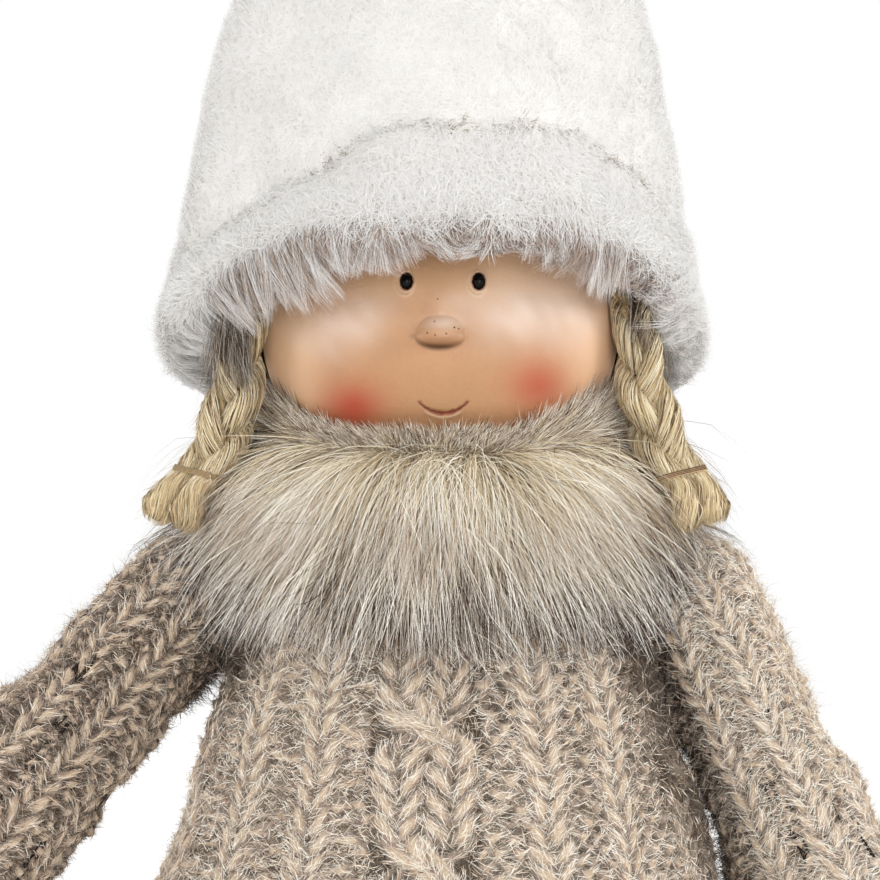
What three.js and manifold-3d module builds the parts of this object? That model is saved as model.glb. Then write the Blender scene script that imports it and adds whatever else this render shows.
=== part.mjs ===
// Winter girl doll: a hollow resin head under a plush hat with a rolled cuff, two plaits of jute
// cord, a long-pile collar, a stuffed knit dress with stuffed sleeves, mittens, legs and boots.
// Millimetres, +Z up, the face towards -Y. The doll's own left is +X.
import * as THREE from "three";
import { mergeVertices } from "three/addons/utils/BufferGeometryUtils.js";
import Module from "manifold-3d";

const wasm = await Module();
wasm.setup();

// Clearances
const seat = 0.3;
const softSeat = 0.45;
const turnGap = 0.5;
const cutPast = 1;

// The dress from the floor up: the height of its hem, then the rise to each section above
const hemBottom = 97;
const hemRise = 13;
const hipRise = 22;
const waistRise = 28;
const ribRise = 24;
const chestRise = 22;
const shoulderRise = 16;
const shoulderTopRise = 12;
const neckRise = 13;

// Half widths and half depths of the dress at those heights
const hemHalf = [78, 60];
const hipHalf = [71, 55];
const waistHalf = [62.5, 49];
const ribHalf = [55.5, 44];
const chestHalf = [50, 40];
const shoulderHalf = [45, 37];
const shoulderTopHalf = [35, 31];
const neckHalf = [24, 24];
const dressWall = 3;

// Hem, underside and the wooden skeleton
const hemBandThick = 5;
const panelLift = 3;
const panelThick = 3;
const boardThick = 5;
const boardRim = 1.5;
const postRadius = 5;

// Head
const headHalf = [39.4, 36];
const headRise = 33;
const headAboveNeck = 1;
const headWall = 3.5;
const neckHoleRadius = 14;
const plugDepth = 12;
const plugFlange = 2.8;
const plugLip = 2.5;
const plugSink = 1.3;
const postGrip = 8;
const eyeHalf = [1.35, 1.3, 1.9];
const eyeSpread = 8;
const eyeRise = 12;
const eyeInset = 0.3;
const noseHalf = [5.1, 4.3, 3.1];
const noseRise = 0.8;
const mouthHalf = 5.6;
const mouthRise = -15.2;
const mouthDrop = 2.8;
const mouthGroove = 0.75;

// Hat
const hatHeight = 112;
const hatWall = 4;
const hatEase = 10.5;
const hatTaper = 0.34;
const browRise = 20;
const browSpan = 25;
const browFall = 90;
const crownLift = 6;
const napeDrop = 29;
const cuffHeight = 29;
const cuffThick = 9.4;
const cuffOverhang = 3;

// Plaits
const plaitRootAngle = 68.5;
const plaitKnot = 3.8;
const knotGap = 0.9;
const plaitLean = 16;
const plaitForward = 5;
const plaitLength = 30.6;
const plaitPitch = 42;
const plaitSpread = 4.2;
const plaitDepth = 3.3;
const strandRadius = 2.1;
const tuftLength = 13;
const tuftRadius = 2.4;
const tuftKick = 20;
const tuftSpread = 0.9;
const tuftEnd = 0.62;
const plaitSqueeze = 0.12;
const tieThick = 0.7;
const tieHeight = 2.6;

// Collar, below and above the neck of the dress
const collarDrop = 29;
const collarShoulderGap = 1;
const collarRise = 13;
const collarCheekLift = 6;
const collarBulge = [49.6, 46.8];
const collarTopHalf = [36, 35.5];

// Arms, measured along the arm from the shoulder
const shoulderSpread = 56;
const shoulderRadius = 15.5;
const elbowAt = 46;
const elbowRadius = 16.4;
const puffAt = 82;
const puffRadius = 20.5;
const wristAt = 104;
const wristRadius = 12.5;
const sleeveWall = 2.5;
const cuffBandLength = 11;
const cuffBandThick = 3;
const cuffBandSwell = 0.8;
const cuffBandRound = 2;
const mittenLength = 30;
const mittenHalf = [13, 9];
const thumbHalf = [4.4, 4.4, 9];
const thumbTilt = 31.5;
const wireRadius = 1.6;
const wireIntoHand = 16;
const hangingArmAngle = 24.5;
const liftedArmAngle = 42;

// Legs and boots
const legSpread = 25;
const legRadius = 14;
const legWall = 2.5;
const dowelRadius = 4;
const soleThick = 5;
const footHalf = [18, 33];
const footForward = 6;
const bootHeight = 52;
const bootWall = 3;
const socketDepth = 18;
const dowelLift = 3;
const bootCuffHeight = 17;
const bootCuffThick = 5;

// Heights that follow from those sizes
const hemTop = hemBottom + hemRise;
const hipHeight = hemTop + hipRise;
const waistHeight = hipHeight + waistRise;
const ribHeight = waistHeight + ribRise;
const chestHeight = ribHeight + chestRise;
const shoulderHeight = chestHeight + shoulderRise;
const shoulderTopHeight = shoulderHeight + shoulderTopRise;
const neckHeight = shoulderTopHeight + neckRise;
const headHeight = neckHeight + headAboveNeck + headRise;
const browHeight = headHeight + browRise;
const hatTop = browHeight + hatHeight;
const collarLow = neckHeight - collarDrop;
const collarSideLow = shoulderHeight + shoulderRadius + collarShoulderGap;
const collarHigh = neckHeight + collarRise;

// Widths that follow from those sizes
const hatRim = headHalf.map((size) => size + hatEase);
const bootShaft = legRadius + bootWall;

// Faces round each form
const bodySides = 32;
const headSides = 28;
const limbSides = 18;
const rodSides = 14;
const strandSides = 6;
const bodySteps = 9;
const limbSteps = 7;
const hatSteps = 8;
const strandSteps = 26;

// A ring of points round an upright axis; the height may change with the angle from the front.
function ring(height, halfWidth, halfDepth, count, centre = [0, 0]) {
  const points = [];
  for (let i = 0; i < count; i += 1) {
    const angle = (2 * Math.PI * i) / count;
    const z = typeof height === "function" ? height(angle) : height;
    const x = centre[0] + halfWidth * Math.sin(angle);
    const y = centre[1] - halfDepth * Math.cos(angle);
    points.push(new THREE.Vector3(x, y, z));
  }
  return points;
}

function volumeOf(positions, faces) {
  const [a, b, c] = [new THREE.Vector3(), new THREE.Vector3(), new THREE.Vector3()];
  let total = 0;
  for (let i = 0; i < faces.length; i += 3) {
    a.fromArray(positions, 3 * faces[i]);
    b.fromArray(positions, 3 * faces[i + 1]);
    c.fromArray(positions, 3 * faces[i + 2]);
    total += a.dot(b.cross(c));
  }
  return total;
}

// A closed skin over rings of points. A looped skin joins its last ring to its first.
function skin(rings, looped = false) {
  const count = rings[0].length;
  const positions = rings.flat().flatMap((point) => point.toArray());
  const faces = [];
  const spans = looped ? rings.length : rings.length - 1;
  for (let i = 0; i < spans; i += 1) {
    const here = i * count;
    const there = ((i + 1) % rings.length) * count;
    for (let j = 0; j < count; j += 1) {
      const k = (j + 1) % count;
      faces.push(here + j, here + k, there + k);
      faces.push(here + j, there + k, there + j);
    }
  }
  if (!looped) {
    closeEnd(rings[0], 0, true);
    closeEnd(rings.at(-1), (rings.length - 1) * count, false);
  }
  if (volumeOf(positions, faces) < 0) {
    faces.reverse();
  }
  const geometry = new THREE.BufferGeometry();
  geometry.setAttribute("position", new THREE.Float32BufferAttribute(positions, 3));
  geometry.setIndex(faces);
  return geometry;

  function closeEnd(end, first, turned) {
    const middle = new THREE.Vector3();
    end.forEach((point) => middle.addScaledVector(point, 1 / count));
    const hub = positions.length / 3;
    positions.push(...middle.toArray());
    for (let j = 0; j < count; j += 1) {
      const k = (j + 1) % count;
      faces.push(hub, first + (turned ? k : j), first + (turned ? j : k));
    }
  }
}

function toSolid(geometry) {
  const bare = geometry.clone();
  bare.deleteAttribute("normal");
  bare.deleteAttribute("uv");
  const merged = mergeVertices(bare, 1e-4);
  const mesh = new wasm.Mesh({
    numProp: 3,
    vertProperties: merged.attributes.position.array,
    triVerts: Uint32Array.from(merged.index.array),
  });
  return new wasm.Manifold(mesh);
}

function toGeometry(solid) {
  const mesh = solid.getMesh();
  const geometry = new THREE.BufferGeometry();
  geometry.setAttribute("position", new THREE.BufferAttribute(mesh.vertProperties, 3));
  geometry.setIndex(new THREE.BufferAttribute(mesh.triVerts, 1));
  return geometry;
}

function cut(body, ...tools) {
  return toGeometry(tools.reduce((rest, tool) => rest.subtract(toSolid(tool)), toSolid(body)));
}

function join(body, ...others) {
  return toGeometry(others.reduce((sum, other) => sum.add(toSolid(other)), toSolid(body)));
}

// A turned piece from a profile of [radius, height] points
function turned(profile, count = rodSides) {
  const points = profile.map(([radius, height]) => new THREE.Vector2(radius, height));
  const geometry = new THREE.LatheGeometry(points, count).rotateX(Math.PI / 2);
  return toGeometry(toSolid(geometry));
}

function rod(radius, low, high, count = rodSides) {
  return turned([[0, low], [radius, low], [radius, high], [0, high]], count);
}

function ellipsoid(half, centre, across = 16, down = 10) {
  const geometry = new THREE.SphereGeometry(1, across, down).rotateX(Math.PI / 2);
  return geometry.scale(...half).translate(...centre);
}

function piece(parent, name, geometry, colour, roughness, metalness = 0) {
  const material = new THREE.MeshStandardMaterial({ color: colour, roughness, metalness });
  const mesh = new THREE.Mesh(geometry, material);
  mesh.name = name;
  parent.add(mesh);
}

// Colours
const fleeceWhite = "#eeeceb";
const collarCream = "#bdb49c";
const knitTaupe = "#ab9a8b";
const skinTan = "#cb986e";
const eyeBlack = "#15120f";
const jute = "#c0a274";
const stuffing = "#e6e3dc";
const wood = "#b98d5c";
const steel = "#8b8e92";
const felt = "#84776b";
const bootBrown = "#7a5a41";
const soleDark = "#3a2f28";
const thread = "#8d7a5c";

// Dress
const dressCurve = new THREE.CatmullRomCurve3([
  new THREE.Vector3(...hemHalf, hemTop),
  new THREE.Vector3(...hipHalf, hipHeight),
  new THREE.Vector3(...waistHalf, waistHeight),
  new THREE.Vector3(...ribHalf, ribHeight),
  new THREE.Vector3(...chestHalf, chestHeight),
  new THREE.Vector3(...shoulderHalf, shoulderHeight),
  new THREE.Vector3(...shoulderTopHalf, shoulderTopHeight),
  new THREE.Vector3(...neckHalf, neckHeight),
]);

function dressRings(grow, low = hemTop, high = neckHeight) {
  return dressCurve.getPoints(bodySteps).map((half) => {
    const height = THREE.MathUtils.mapLinear(half.z, hemTop, neckHeight, low, high);
    return ring(height, half.x + grow, half.y + grow, bodySides);
  });
}

// The space of both arms as they hang against the body
function armRooms() {
  return [1, -1].map((sign) => {
    const room = skin(sleeveRings(-turnGap, wristAt));
    room.rotateY(-sign * THREE.MathUtils.degToRad(hangingArmAngle));
    return room.translate(sign * shoulderSpread, 0, shoulderHeight);
  });
}

// The dress is a knit bag, open at the neck and the hem, with an armhole at each shoulder.
function dressBody() {
  const outside = dressRings(0);
  const inside = dressRings(-dressWall).reverse();
  return cut(skin([...outside, ...inside], true), ...armRooms());
}

function dressBlock(grow) {
  return skin(dressRings(grow, hemTop - grow, neckHeight + grow));
}

const panelBottom = hemBottom + panelLift;
const panelTop = panelBottom + panelThick;
const boardBottom = panelTop + seat;
const boardTop = boardBottom + boardThick;

// A rolled band of rib knit that closes the edge of the dress
function hemBand() {
  const height = hemTop - seat - hemBottom;
  const rings = [];
  const steps = 8;
  for (let i = 0; i < steps; i += 1) {
    const turn = (2 * Math.PI * (i + 0.5)) / steps;
    const out = hemBandThick / 2 + (hemBandThick / 2) * Math.cos(turn);
    const up = hemBottom + height / 2 + (height / 2) * Math.sin(turn);
    const reach = out - dressWall + seat;
    rings.push(ring(up, hemHalf[0] + reach, hemHalf[1] + reach, bodySides));
  }
  return skin(rings, true);
}

// A flat oval sheet inside the hem, with a hole at each leg
function oval(inset, low, thickness, holeRadius) {
  const shape = new THREE.Shape();
  shape.absellipse(0, 0, hemHalf[0] - inset, hemHalf[1] - inset, 0, 2 * Math.PI);
  for (const sign of [1, -1]) {
    const hole = new THREE.Path();
    hole.absarc(sign * legSpread, 0, holeRadius, 0, 2 * Math.PI, true);
    shape.holes.push(hole);
  }
  const settings = { depth: thickness, bevelEnabled: false, curveSegments: bodySides / 2 };
  return new THREE.ExtrudeGeometry(shape, settings).translate(0, 0, low);
}

const plugBottom = headHeight - headRise - plugFlange + plugSink;
const plugTop = plugBottom + plugFlange + plugDepth;
const postTop = plugBottom + plugFlange + postGrip;

function bodyFilling() {
  const rings = dressRings(-dressWall - seat, boardTop + seat, neckHeight - seat);
  const top = plugBottom - turnGap;
  const lid = rod(neckHalf[0], top, neckHeight + cutPast, rodSides);
  const bore = rod(postRadius + seat, boardTop, neckHeight + cutPast);
  return cut(skin(rings), ...armRooms(), bore, lid);
}

// Head
function headBlock(grow, sides = headSides, down = 14) {
  const half = [headHalf[0] + grow, headHalf[1] + grow, headRise + grow];
  return ellipsoid(half, [0, 0, headHeight], sides, down);
}

// How far forward the face lies at a place given from the middle of the head
function faceDepth(across, rise) {
  const left = 1 - (across / headHalf[0]) ** 2 - (rise / headRise) ** 2;
  return -headHalf[1] * Math.sqrt(left);
}

function eyeBall(sign, grow) {
  const half = eyeHalf.map((size) => size + grow);
  const depth = faceDepth(eyeSpread, eyeRise) + eyeInset;
  return ellipsoid(half, [sign * eyeSpread, depth, headHeight + eyeRise], 10, 7);
}

// The smile is a groove that follows the face.
function smile() {
  const points = [];
  const steps = 10;
  for (let i = 0; i <= steps; i += 1) {
    const part = (2 * i) / steps - 1;
    const across = part * mouthHalf;
    const rise = mouthRise - mouthDrop * (1 - part * part);
    points.push(new THREE.Vector3(across, faceDepth(across, rise), headHeight + rise));
  }
  const path = new THREE.CatmullRomCurve3(points);
  const shape = new THREE.Shape();
  shape.absarc(0, 0, mouthGroove, 0, 2 * Math.PI);
  const settings = { steps, curveSegments: 4, extrudePath: path, bevelEnabled: false };
  return new THREE.ExtrudeGeometry(shape, settings);
}

function headShell() {
  const nose = ellipsoid(noseHalf, [0, faceDepth(0, noseRise), headHeight + noseRise], 12, 8);
  const outside = join(headBlock(0), nose);
  const inside = headBlock(-headWall, limbSides, 9);
  const chin = headHeight - headRise;
  const neckHole = rod(neckHoleRadius, chin - cutPast, chin + headRise / 2, limbSides);
  return cut(outside, inside, neckHole, eyeBall(1, seat), eyeBall(-1, seat), smile());
}

// A wooden plug in the neck hole, bored for the post that the head turns on
function neckPlug() {
  const step = plugBottom + plugFlange;
  return turned([
    [0, postTop + seat],
    [postRadius + seat, postTop + seat],
    [postRadius + seat, plugBottom],
    [neckHoleRadius + plugLip, plugBottom],
    [neckHoleRadius + plugLip, step],
    [neckHoleRadius - seat, step],
    [neckHoleRadius - seat, plugTop],
    [0, plugTop],
  ], limbSides);
}

// Hat
function smooth(value) {
  return THREE.MathUtils.smoothstep(value, 0, 1);
}

// The brim is high over the brow and drops past the cheeks to the nape.
function brimHeight(angle) {
  const fromFront = Math.min(angle, 2 * Math.PI - angle);
  const start = THREE.MathUtils.degToRad(browSpan);
  const span = THREE.MathUtils.degToRad(browFall);
  return browHeight - napeDrop * smooth((fromFront - start) / span);
}

function hatHalf(height) {
  const part = Math.max(0, (height - browHeight) / (hatTop - browHeight));
  const taper = (1 - hatTaper * part * part) * Math.sqrt(Math.max(0, 1 - part ** 5));
  return [hatRim[0] * taper, hatRim[1] * taper];
}

function hatRings(grow, lowest, top) {
  const rings = [];
  for (let i = 0; i < hatSteps; i += 1) {
    const part = Math.sin((Math.PI / 2) * ((i + 0.5) / hatSteps));
    const level = lowest + (top - lowest) * part;
    const reach = THREE.MathUtils.mapLinear(level, lowest, top, lowest, hatTop);
    const half = hatHalf(reach);
    rings.push(ring(level, Math.max(half[0] + grow, 2), Math.max(half[1] + grow, 2), bodySides));
  }
  return rings;
}

const crownStart = browHeight + crownLift;

function hatCavity(grow) {
  const top = hatTop - hatWall + grow;
  const half = hatHalf(crownStart);
  const throat = [half[0] - 3 * hatWall + grow, half[1] - 3 * hatWall + grow];
  const first = ring(crownStart - 3 - grow, ...throat, bodySides);
  return skin([first, ...hatRings(-hatWall + grow, crownStart, top)]);
}

function hatCrown() {
  const rim = ring((angle) => brimHeight(angle) + cuffOverhang, ...hatRim, bodySides);
  const middle = ring((angle) => (brimHeight(angle) + cuffOverhang + crownStart) / 2, ...hatRim,
    bodySides);
  const outside = skin([rim, middle, ...hatRings(0, crownStart, hatTop)]);
  return cut(outside, headBlock(softSeat), hatCavity(0));
}

function hatFilling() {
  return cut(hatCavity(-seat), headBlock(softSeat));
}

// The cuff is the brim turned up: thick at its fold and thin at its edge.
function hatCuff() {
  const outline = new THREE.SplineCurve([
    new THREE.Vector2(0, 0.05),
    new THREE.Vector2(0.5, -0.03),
    new THREE.Vector2(0.92, 0.1),
    new THREE.Vector2(1, 0.34),
    new THREE.Vector2(0.78, 0.68),
    new THREE.Vector2(0.4, 0.95),
    new THREE.Vector2(0, 1),
  ]).getPoints(7);
  const back = [0.66, 0.33].map((part) => new THREE.Vector2(0, part));
  const rings = [...outline, ...back].map((point) => {
    const out = softSeat + point.x * cuffThick;
    const up = point.y * cuffHeight;
    const half = hatHalf(browHeight + up);
    return ring((angle) => brimHeight(angle) + up, half[0] + out, half[1] + out, bodySides);
  });
  return cut(skin(rings, true), skin([
    ring(browHeight - napeDrop - cuffHeight, ...hatRim.map((size) => size + seat), bodySides),
    ring(crownStart, ...hatRim.map((size) => size + seat), bodySides),
    ...hatRings(seat, crownStart, hatTop + seat),
  ]));
}

// Plaits
const rootAngle = THREE.MathUtils.degToRad(plaitRootAngle);
const plaitRoot = [
  (hatRim[0] - plaitKnot) * Math.sin(rootAngle),
  -(hatRim[1] - plaitKnot) * Math.cos(rootAngle),
];
const rootStep = 0.1;
const rootFall = brimHeight(rootAngle - rootStep) - brimHeight(rootAngle + rootStep);
const rootSlope = Math.hypot(1, rootFall / (2 * rootStep * hatRim[1]));
const rootRoom = (plaitKnot + softSeat) * rootSlope;
const rootHeight = brimHeight(rootAngle) + cuffOverhang - rootRoom;
const plaitStart = plaitKnot + seat + knotGap;
const tieAt = plaitStart + plaitLength;

// The middle line and radius of one of the three cords of a plait that hangs down from the origin
function strandAt(index, along) {
  const turn = ((along - tieAt) / plaitPitch) * 2 * Math.PI + Math.PI / 2;
  const phase = (index * 2 * Math.PI) / 3;
  const past = Math.max(0, along - tieAt - tieHeight);
  const flare = past / (tuftLength - tieHeight);
  const held = Math.max(-1, Math.min(0, along - tieAt) / (plaitPitch / 4));
  const squeeze = 1 - plaitSqueeze * smooth(1 + held);
  const settled = along > tieAt ? Math.PI / 2 : turn;
  const across = plaitSpread * squeeze * Math.sin(settled + phase) * (1 + tuftSpread * flare);
  const deep = plaitDepth * Math.sin(2 * (settled + phase)) * (1 + tuftSpread * flare);
  const kick = past * Math.tan(THREE.MathUtils.degToRad(tuftKick));
  const rounding = along > tieAt + tuftLength - seat ? tuftEnd : 1;
  const radius = (strandRadius + (tuftRadius - strandRadius) * smooth(flare)) * rounding;
  return { point: new THREE.Vector3(across + kick, deep, -along), radius };
}

function strand(index, sign) {
  const end = tieAt + tuftLength;
  const rings = [];
  for (let i = 0; i <= strandSteps; i += 1) {
    const along = THREE.MathUtils.mapLinear(i, 0, strandSteps, plaitStart, end);
    const here = strandAt(index, along);
    const ahead = strandAt(index, along + 0.2).point;
    const behind = strandAt(index, along - 0.2).point;
    const heading = ahead.sub(behind).normalize();
    const side = new THREE.Vector3(0, 1, 0).cross(heading).normalize();
    const front = heading.clone().cross(side);
    rings.push(roundRing(here.point, side, front, here.radius, strandSides));
  }
  return skin(rings).scale(sign, 1, 1);
}

function roundRing(centre, side, front, radius, count) {
  const points = [];
  for (let i = 0; i < count; i += 1) {
    const angle = (2 * Math.PI * (i + 0.5)) / count;
    const point = centre.clone().addScaledVector(side, radius * Math.cos(angle));
    points.push(point.addScaledVector(front, radius * Math.sin(angle)));
  }
  return points;
}

// A thread wound round the three cords
function plaitTie() {
  const reach = Math.max(...[0, 1, 2].map((index) => {
    const { point } = strandAt(index, tieAt + tieHeight / 2);
    return Math.hypot(point.x, point.y) + strandRadius;
  }));
  const inner = reach + seat;
  const low = -tieAt - tieHeight;
  return turned([
    [inner, low],
    [inner + tieThick, low + tieHeight * 0.25],
    [inner + tieThick, low + tieHeight * 0.75],
    [inner, low + tieHeight],
    [inner, low],
  ], rodSides);
}

function flipFaces(geometry) {
  const index = geometry.index.array;
  for (let i = 0; i < index.length; i += 3) {
    [index[i], index[i + 1]] = [index[i + 1], index[i]];
  }
  return geometry;
}

// Where a plait hangs
function placePlait(thing, sign) {
  thing.position.set(sign * plaitRoot[0], plaitRoot[1], rootHeight);
  thing.rotation.y = -sign * THREE.MathUtils.degToRad(plaitLean);
  thing.rotation.x = -THREE.MathUtils.degToRad(plaitForward);
  thing.updateMatrix();
}

// The space of a plait, pressed into the ruff that it hangs on
function plaitRoom(sign) {
  const reach = plaitSpread + strandRadius + softSeat;
  const room = rod(reach, -tieAt - tuftLength, -plaitStart, strandSides * 2);
  const place = new THREE.Object3D();
  placePlait(place, sign);
  return room.applyMatrix4(place.matrix);
}

// Collar: a thick ruff over the shoulders, lifted where the arms pass under it
function collar() {
  const low = (angle) => THREE.MathUtils.lerp(collarLow, collarSideLow, Math.sin(angle) ** 2);
  const high = (angle) => collarHigh + collarCheekLift * Math.sin(angle) ** 2;
  const profile = new THREE.SplineCurve([
    new THREE.Vector2(0.1, 0),
    new THREE.Vector2(0, 0.12),
    new THREE.Vector2(0.02, 0.4),
    new THREE.Vector2(0.3, 0.75),
    new THREE.Vector2(1, 1),
  ]).getPoints(6);
  const rings = profile.map((point) => {
    const width = THREE.MathUtils.lerp(collarBulge[0], collarTopHalf[0], point.x);
    const depth = THREE.MathUtils.lerp(collarBulge[1], collarTopHalf[1], point.x);
    const height = (angle) => THREE.MathUtils.lerp(low(angle), high(angle), point.y);
    return ring(height, width, depth, bodySides);
  });
  const turningHead = headHalf[0] + 2 * turnGap;
  const headRoom = ellipsoid([turningHead, turningHead, headRise + 2 * turnGap],
    [0, 0, headHeight], headSides, 14);
  const neckRoom = rod(neckHalf[0] + softSeat, collarLow, collarHigh + collarCheekLift, limbSides);
  return cut(skin(rings), dressBlock(softSeat), neckRoom, headRoom, plaitRoom(1), plaitRoom(-1));
}

// Arms hang down from the shoulder, which is their origin.
function sleeveRings(shrink, end) {
  const rings = [];
  const radius = shoulderRadius - shrink;
  for (const turn of [20, 45, 68]) {
    const part = THREE.MathUtils.degToRad(turn);
    rings.push(ring(radius * Math.cos(part), radius * Math.sin(part), radius * Math.sin(part),
      limbSides));
  }
  const curve = new THREE.CatmullRomCurve3([
    new THREE.Vector3(shoulderRadius, 0, 0),
    new THREE.Vector3(elbowRadius, 0, elbowAt),
    new THREE.Vector3(puffRadius, 0, puffAt),
    new THREE.Vector3(wristRadius, 0, wristAt),
  ]);
  for (const point of curve.getPoints(limbSteps)) {
    const height = -point.z * (end / wristAt);
    rings.push(ring(height, point.x - shrink, point.x - shrink, limbSides));
  }
  return rings;
}

function sleeve() {
  const outside = sleeveRings(0, wristAt);
  const inside = sleeveRings(sleeveWall, wristAt).reverse();
  return skin([...outside, ...inside]);
}

function armFilling() {
  const bore = rod(wireRadius + seat, -wristAt - cutPast, shoulderRadius / 2, 10);
  return cut(skin(sleeveRings(sleeveWall + seat, wristAt - seat)), bore);
}

const handTop = -wristAt - seat;
const cuffBottom = handTop - cuffBandLength;

function armWire() {
  return rod(wireRadius, handTop - wireIntoHand, shoulderRadius / 2 - seat, 10);
}

// Ribbed band round the wrist
function sleeveCuff() {
  const inner = wristRadius - cuffBandThick;
  const outer = wristRadius + cuffBandSwell;
  return turned([
    [inner, cuffBottom],
    [outer - cuffBandRound / 2, cuffBottom],
    [outer, cuffBottom + cuffBandRound],
    [outer, handTop - cuffBandRound],
    [outer - cuffBandRound / 2, handTop],
    [inner, handTop],
    [inner, cuffBottom],
  ], limbSides);
}

// A mitten: a flat rounded palm with the thumb towards the body
function mitten(sign) {
  const wrist = wristRadius - cuffBandThick - seat;
  const tip = cuffBottom - mittenLength;
  const curve = new THREE.CatmullRomCurve3([
    new THREE.Vector3(wrist, wrist, handTop),
    new THREE.Vector3(wrist, wrist, cuffBottom),
    new THREE.Vector3(...mittenHalf, cuffBottom - mittenLength * 0.38),
    new THREE.Vector3(mittenHalf[0] * 0.86, mittenHalf[1] * 0.9, cuffBottom - mittenLength * 0.75),
    new THREE.Vector3(mittenHalf[0] * 0.3, mittenHalf[1] * 0.4, tip),
  ]);
  const rings = curve.getPoints(limbSteps).map((half) => {
    const height = Math.min(half.z, handTop);
    return ring(height, half.y, half.x, rodSides);
  });
  const thumb = ellipsoid(thumbHalf, [0, 0, 0], 10, 7).rotateX(THREE.MathUtils.degToRad(thumbTilt));
  thumb.translate(0, -mittenHalf[0] * 0.82, cuffBottom - mittenLength * 0.42);
  const bore = rod(wireRadius + seat, handTop - wireIntoHand - seat, handTop + cutPast, 10);
  const hand = cut(join(skin(rings), thumb), bore);
  return sign > 0 ? hand : flipFaces(hand.scale(-1, 1, 1));
}

// Legs stand on the boots and carry the board.
const bootBottom = soleThick + seat;
const bootTop = bootHeight;
const socketBottom = bootTop - socketDepth;
const dowelBottom = bootBottom + dowelLift;

function footRing(height, long, wide, forward) {
  return ring(height, footHalf[0] * wide, footHalf[1] * long, limbSides, [0, -forward]);
}

function sole() {
  const low = footRing(0, 1, 1, footForward);
  const high = footRing(soleThick, 1.03, 1.05, footForward);
  return skin([low, high]);
}

function boot() {
  const shaftWide = bootShaft / footHalf[0];
  const shaftLong = bootShaft / footHalf[1];
  const rise = bootTop - bootBottom;
  const rings = [
    footRing(bootBottom, 0.97, 0.96, footForward),
    footRing(bootBottom + rise * 0.1, 1, 1, footForward),
    footRing(bootBottom + rise * 0.24, 0.97, 0.99, footForward),
    footRing(bootBottom + rise * 0.38, 0.85, 0.96, footForward * 0.66),
    footRing(bootBottom + rise * 0.52, 0.66, 0.92, footForward * 0.2),
    footRing(bootTop - bootCuffHeight / 2 - 1, shaftLong, shaftWide, 0),
    footRing(bootTop, shaftLong, shaftWide, 0),
  ];
  const socket = rod(legRadius + seat, socketBottom, bootTop + cutPast, limbSides);
  const bore = rod(dowelRadius + seat, dowelBottom - seat, bootTop);
  return cut(skin(rings), socket, bore);
}

function legging() {
  const rise = boardBottom - seat;
  const inner = legRadius - legWall;
  const low = socketBottom + seat;
  return turned([
    [inner, low],
    [legRadius, low],
    [legRadius, rise],
    [inner, rise],
    [inner, low],
  ], limbSides);
}

function legFilling() {
  const low = socketBottom + seat;
  const high = boardBottom - seat;
  const outer = legRadius - legWall - seat;
  const inner = dowelRadius + seat;
  return turned([[inner, low], [outer, low], [outer, high], [inner, high], [inner, low]], limbSides);
}

// A thick ring of pile round the top of the boot
function bootCuff() {
  const grip = bootShaft + softSeat;
  const low = bootTop - bootCuffHeight / 2;
  const high = bootTop + bootCuffHeight / 2;
  return turned([
    [grip, low],
    [grip + bootCuffThick * 0.7, low + 1],
    [grip + bootCuffThick, low + bootCuffHeight * 0.35],
    [grip + bootCuffThick * 0.8, low + bootCuffHeight * 0.75],
    [legRadius + 3, high],
    [legRadius + softSeat, high - 1],
    [legRadius + softSeat, bootTop + softSeat],
    [grip, bootTop + softSeat],
    [grip, low],
  ], limbSides);
}

const doll = new THREE.Group();

function addTorso() {
  piece(doll, "dress_body", dressBody(), knitTaupe, 0.95);
  piece(doll, "hem_band", hemBand(), knitTaupe, 0.95);
  piece(doll, "body_filling", bodyFilling(), stuffing, 1);
  const rim = dressWall + seat;
  piece(doll, "base_panel", oval(rim, panelBottom, panelThick, legRadius + seat), felt, 0.95);
  const board = oval(rim + boardRim, boardBottom, boardThick, dowelRadius + seat);
  piece(doll, "base_board", board, wood, 0.7);
  piece(doll, "neck_post", rod(postRadius, boardTop + seat, postTop), wood, 0.7);
  piece(doll, "fur_collar", collar(), collarCream, 0.9);
}

function addHead() {
  piece(doll, "head_shell", headShell(), skinTan, 0.42);
  piece(doll, "neck_plug", neckPlug(), wood, 0.7);
  piece(doll, "eye_left", eyeBall(1, 0), eyeBlack, 0.12);
  piece(doll, "eye_right", eyeBall(-1, 0), eyeBlack, 0.12);
  piece(doll, "hat_crown", hatCrown(), fleeceWhite, 0.95);
  piece(doll, "hat_cuff", hatCuff(), fleeceWhite, 0.95);
  piece(doll, "hat_filling", hatFilling(), stuffing, 1);
}

function addPlait(name, sign) {
  const plait = new THREE.Group();
  placePlait(plait, sign);
  doll.add(plait);
  const half = [plaitKnot, plaitKnot, plaitKnot];
  piece(plait, `plait_${name}_knot`, ellipsoid(half, [0, 0, 0], 10, 7), jute, 0.9);
  for (let i = 0; i < 3; i += 1) {
    const cord = sign > 0 ? strand(i, 1) : flipFaces(strand(i, -1));
    piece(plait, `plait_${name}_cord_${i + 1}`, cord, jute, 0.9);
  }
  piece(plait, `plait_${name}_tie`, plaitTie(), thread, 0.85);
}

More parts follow.
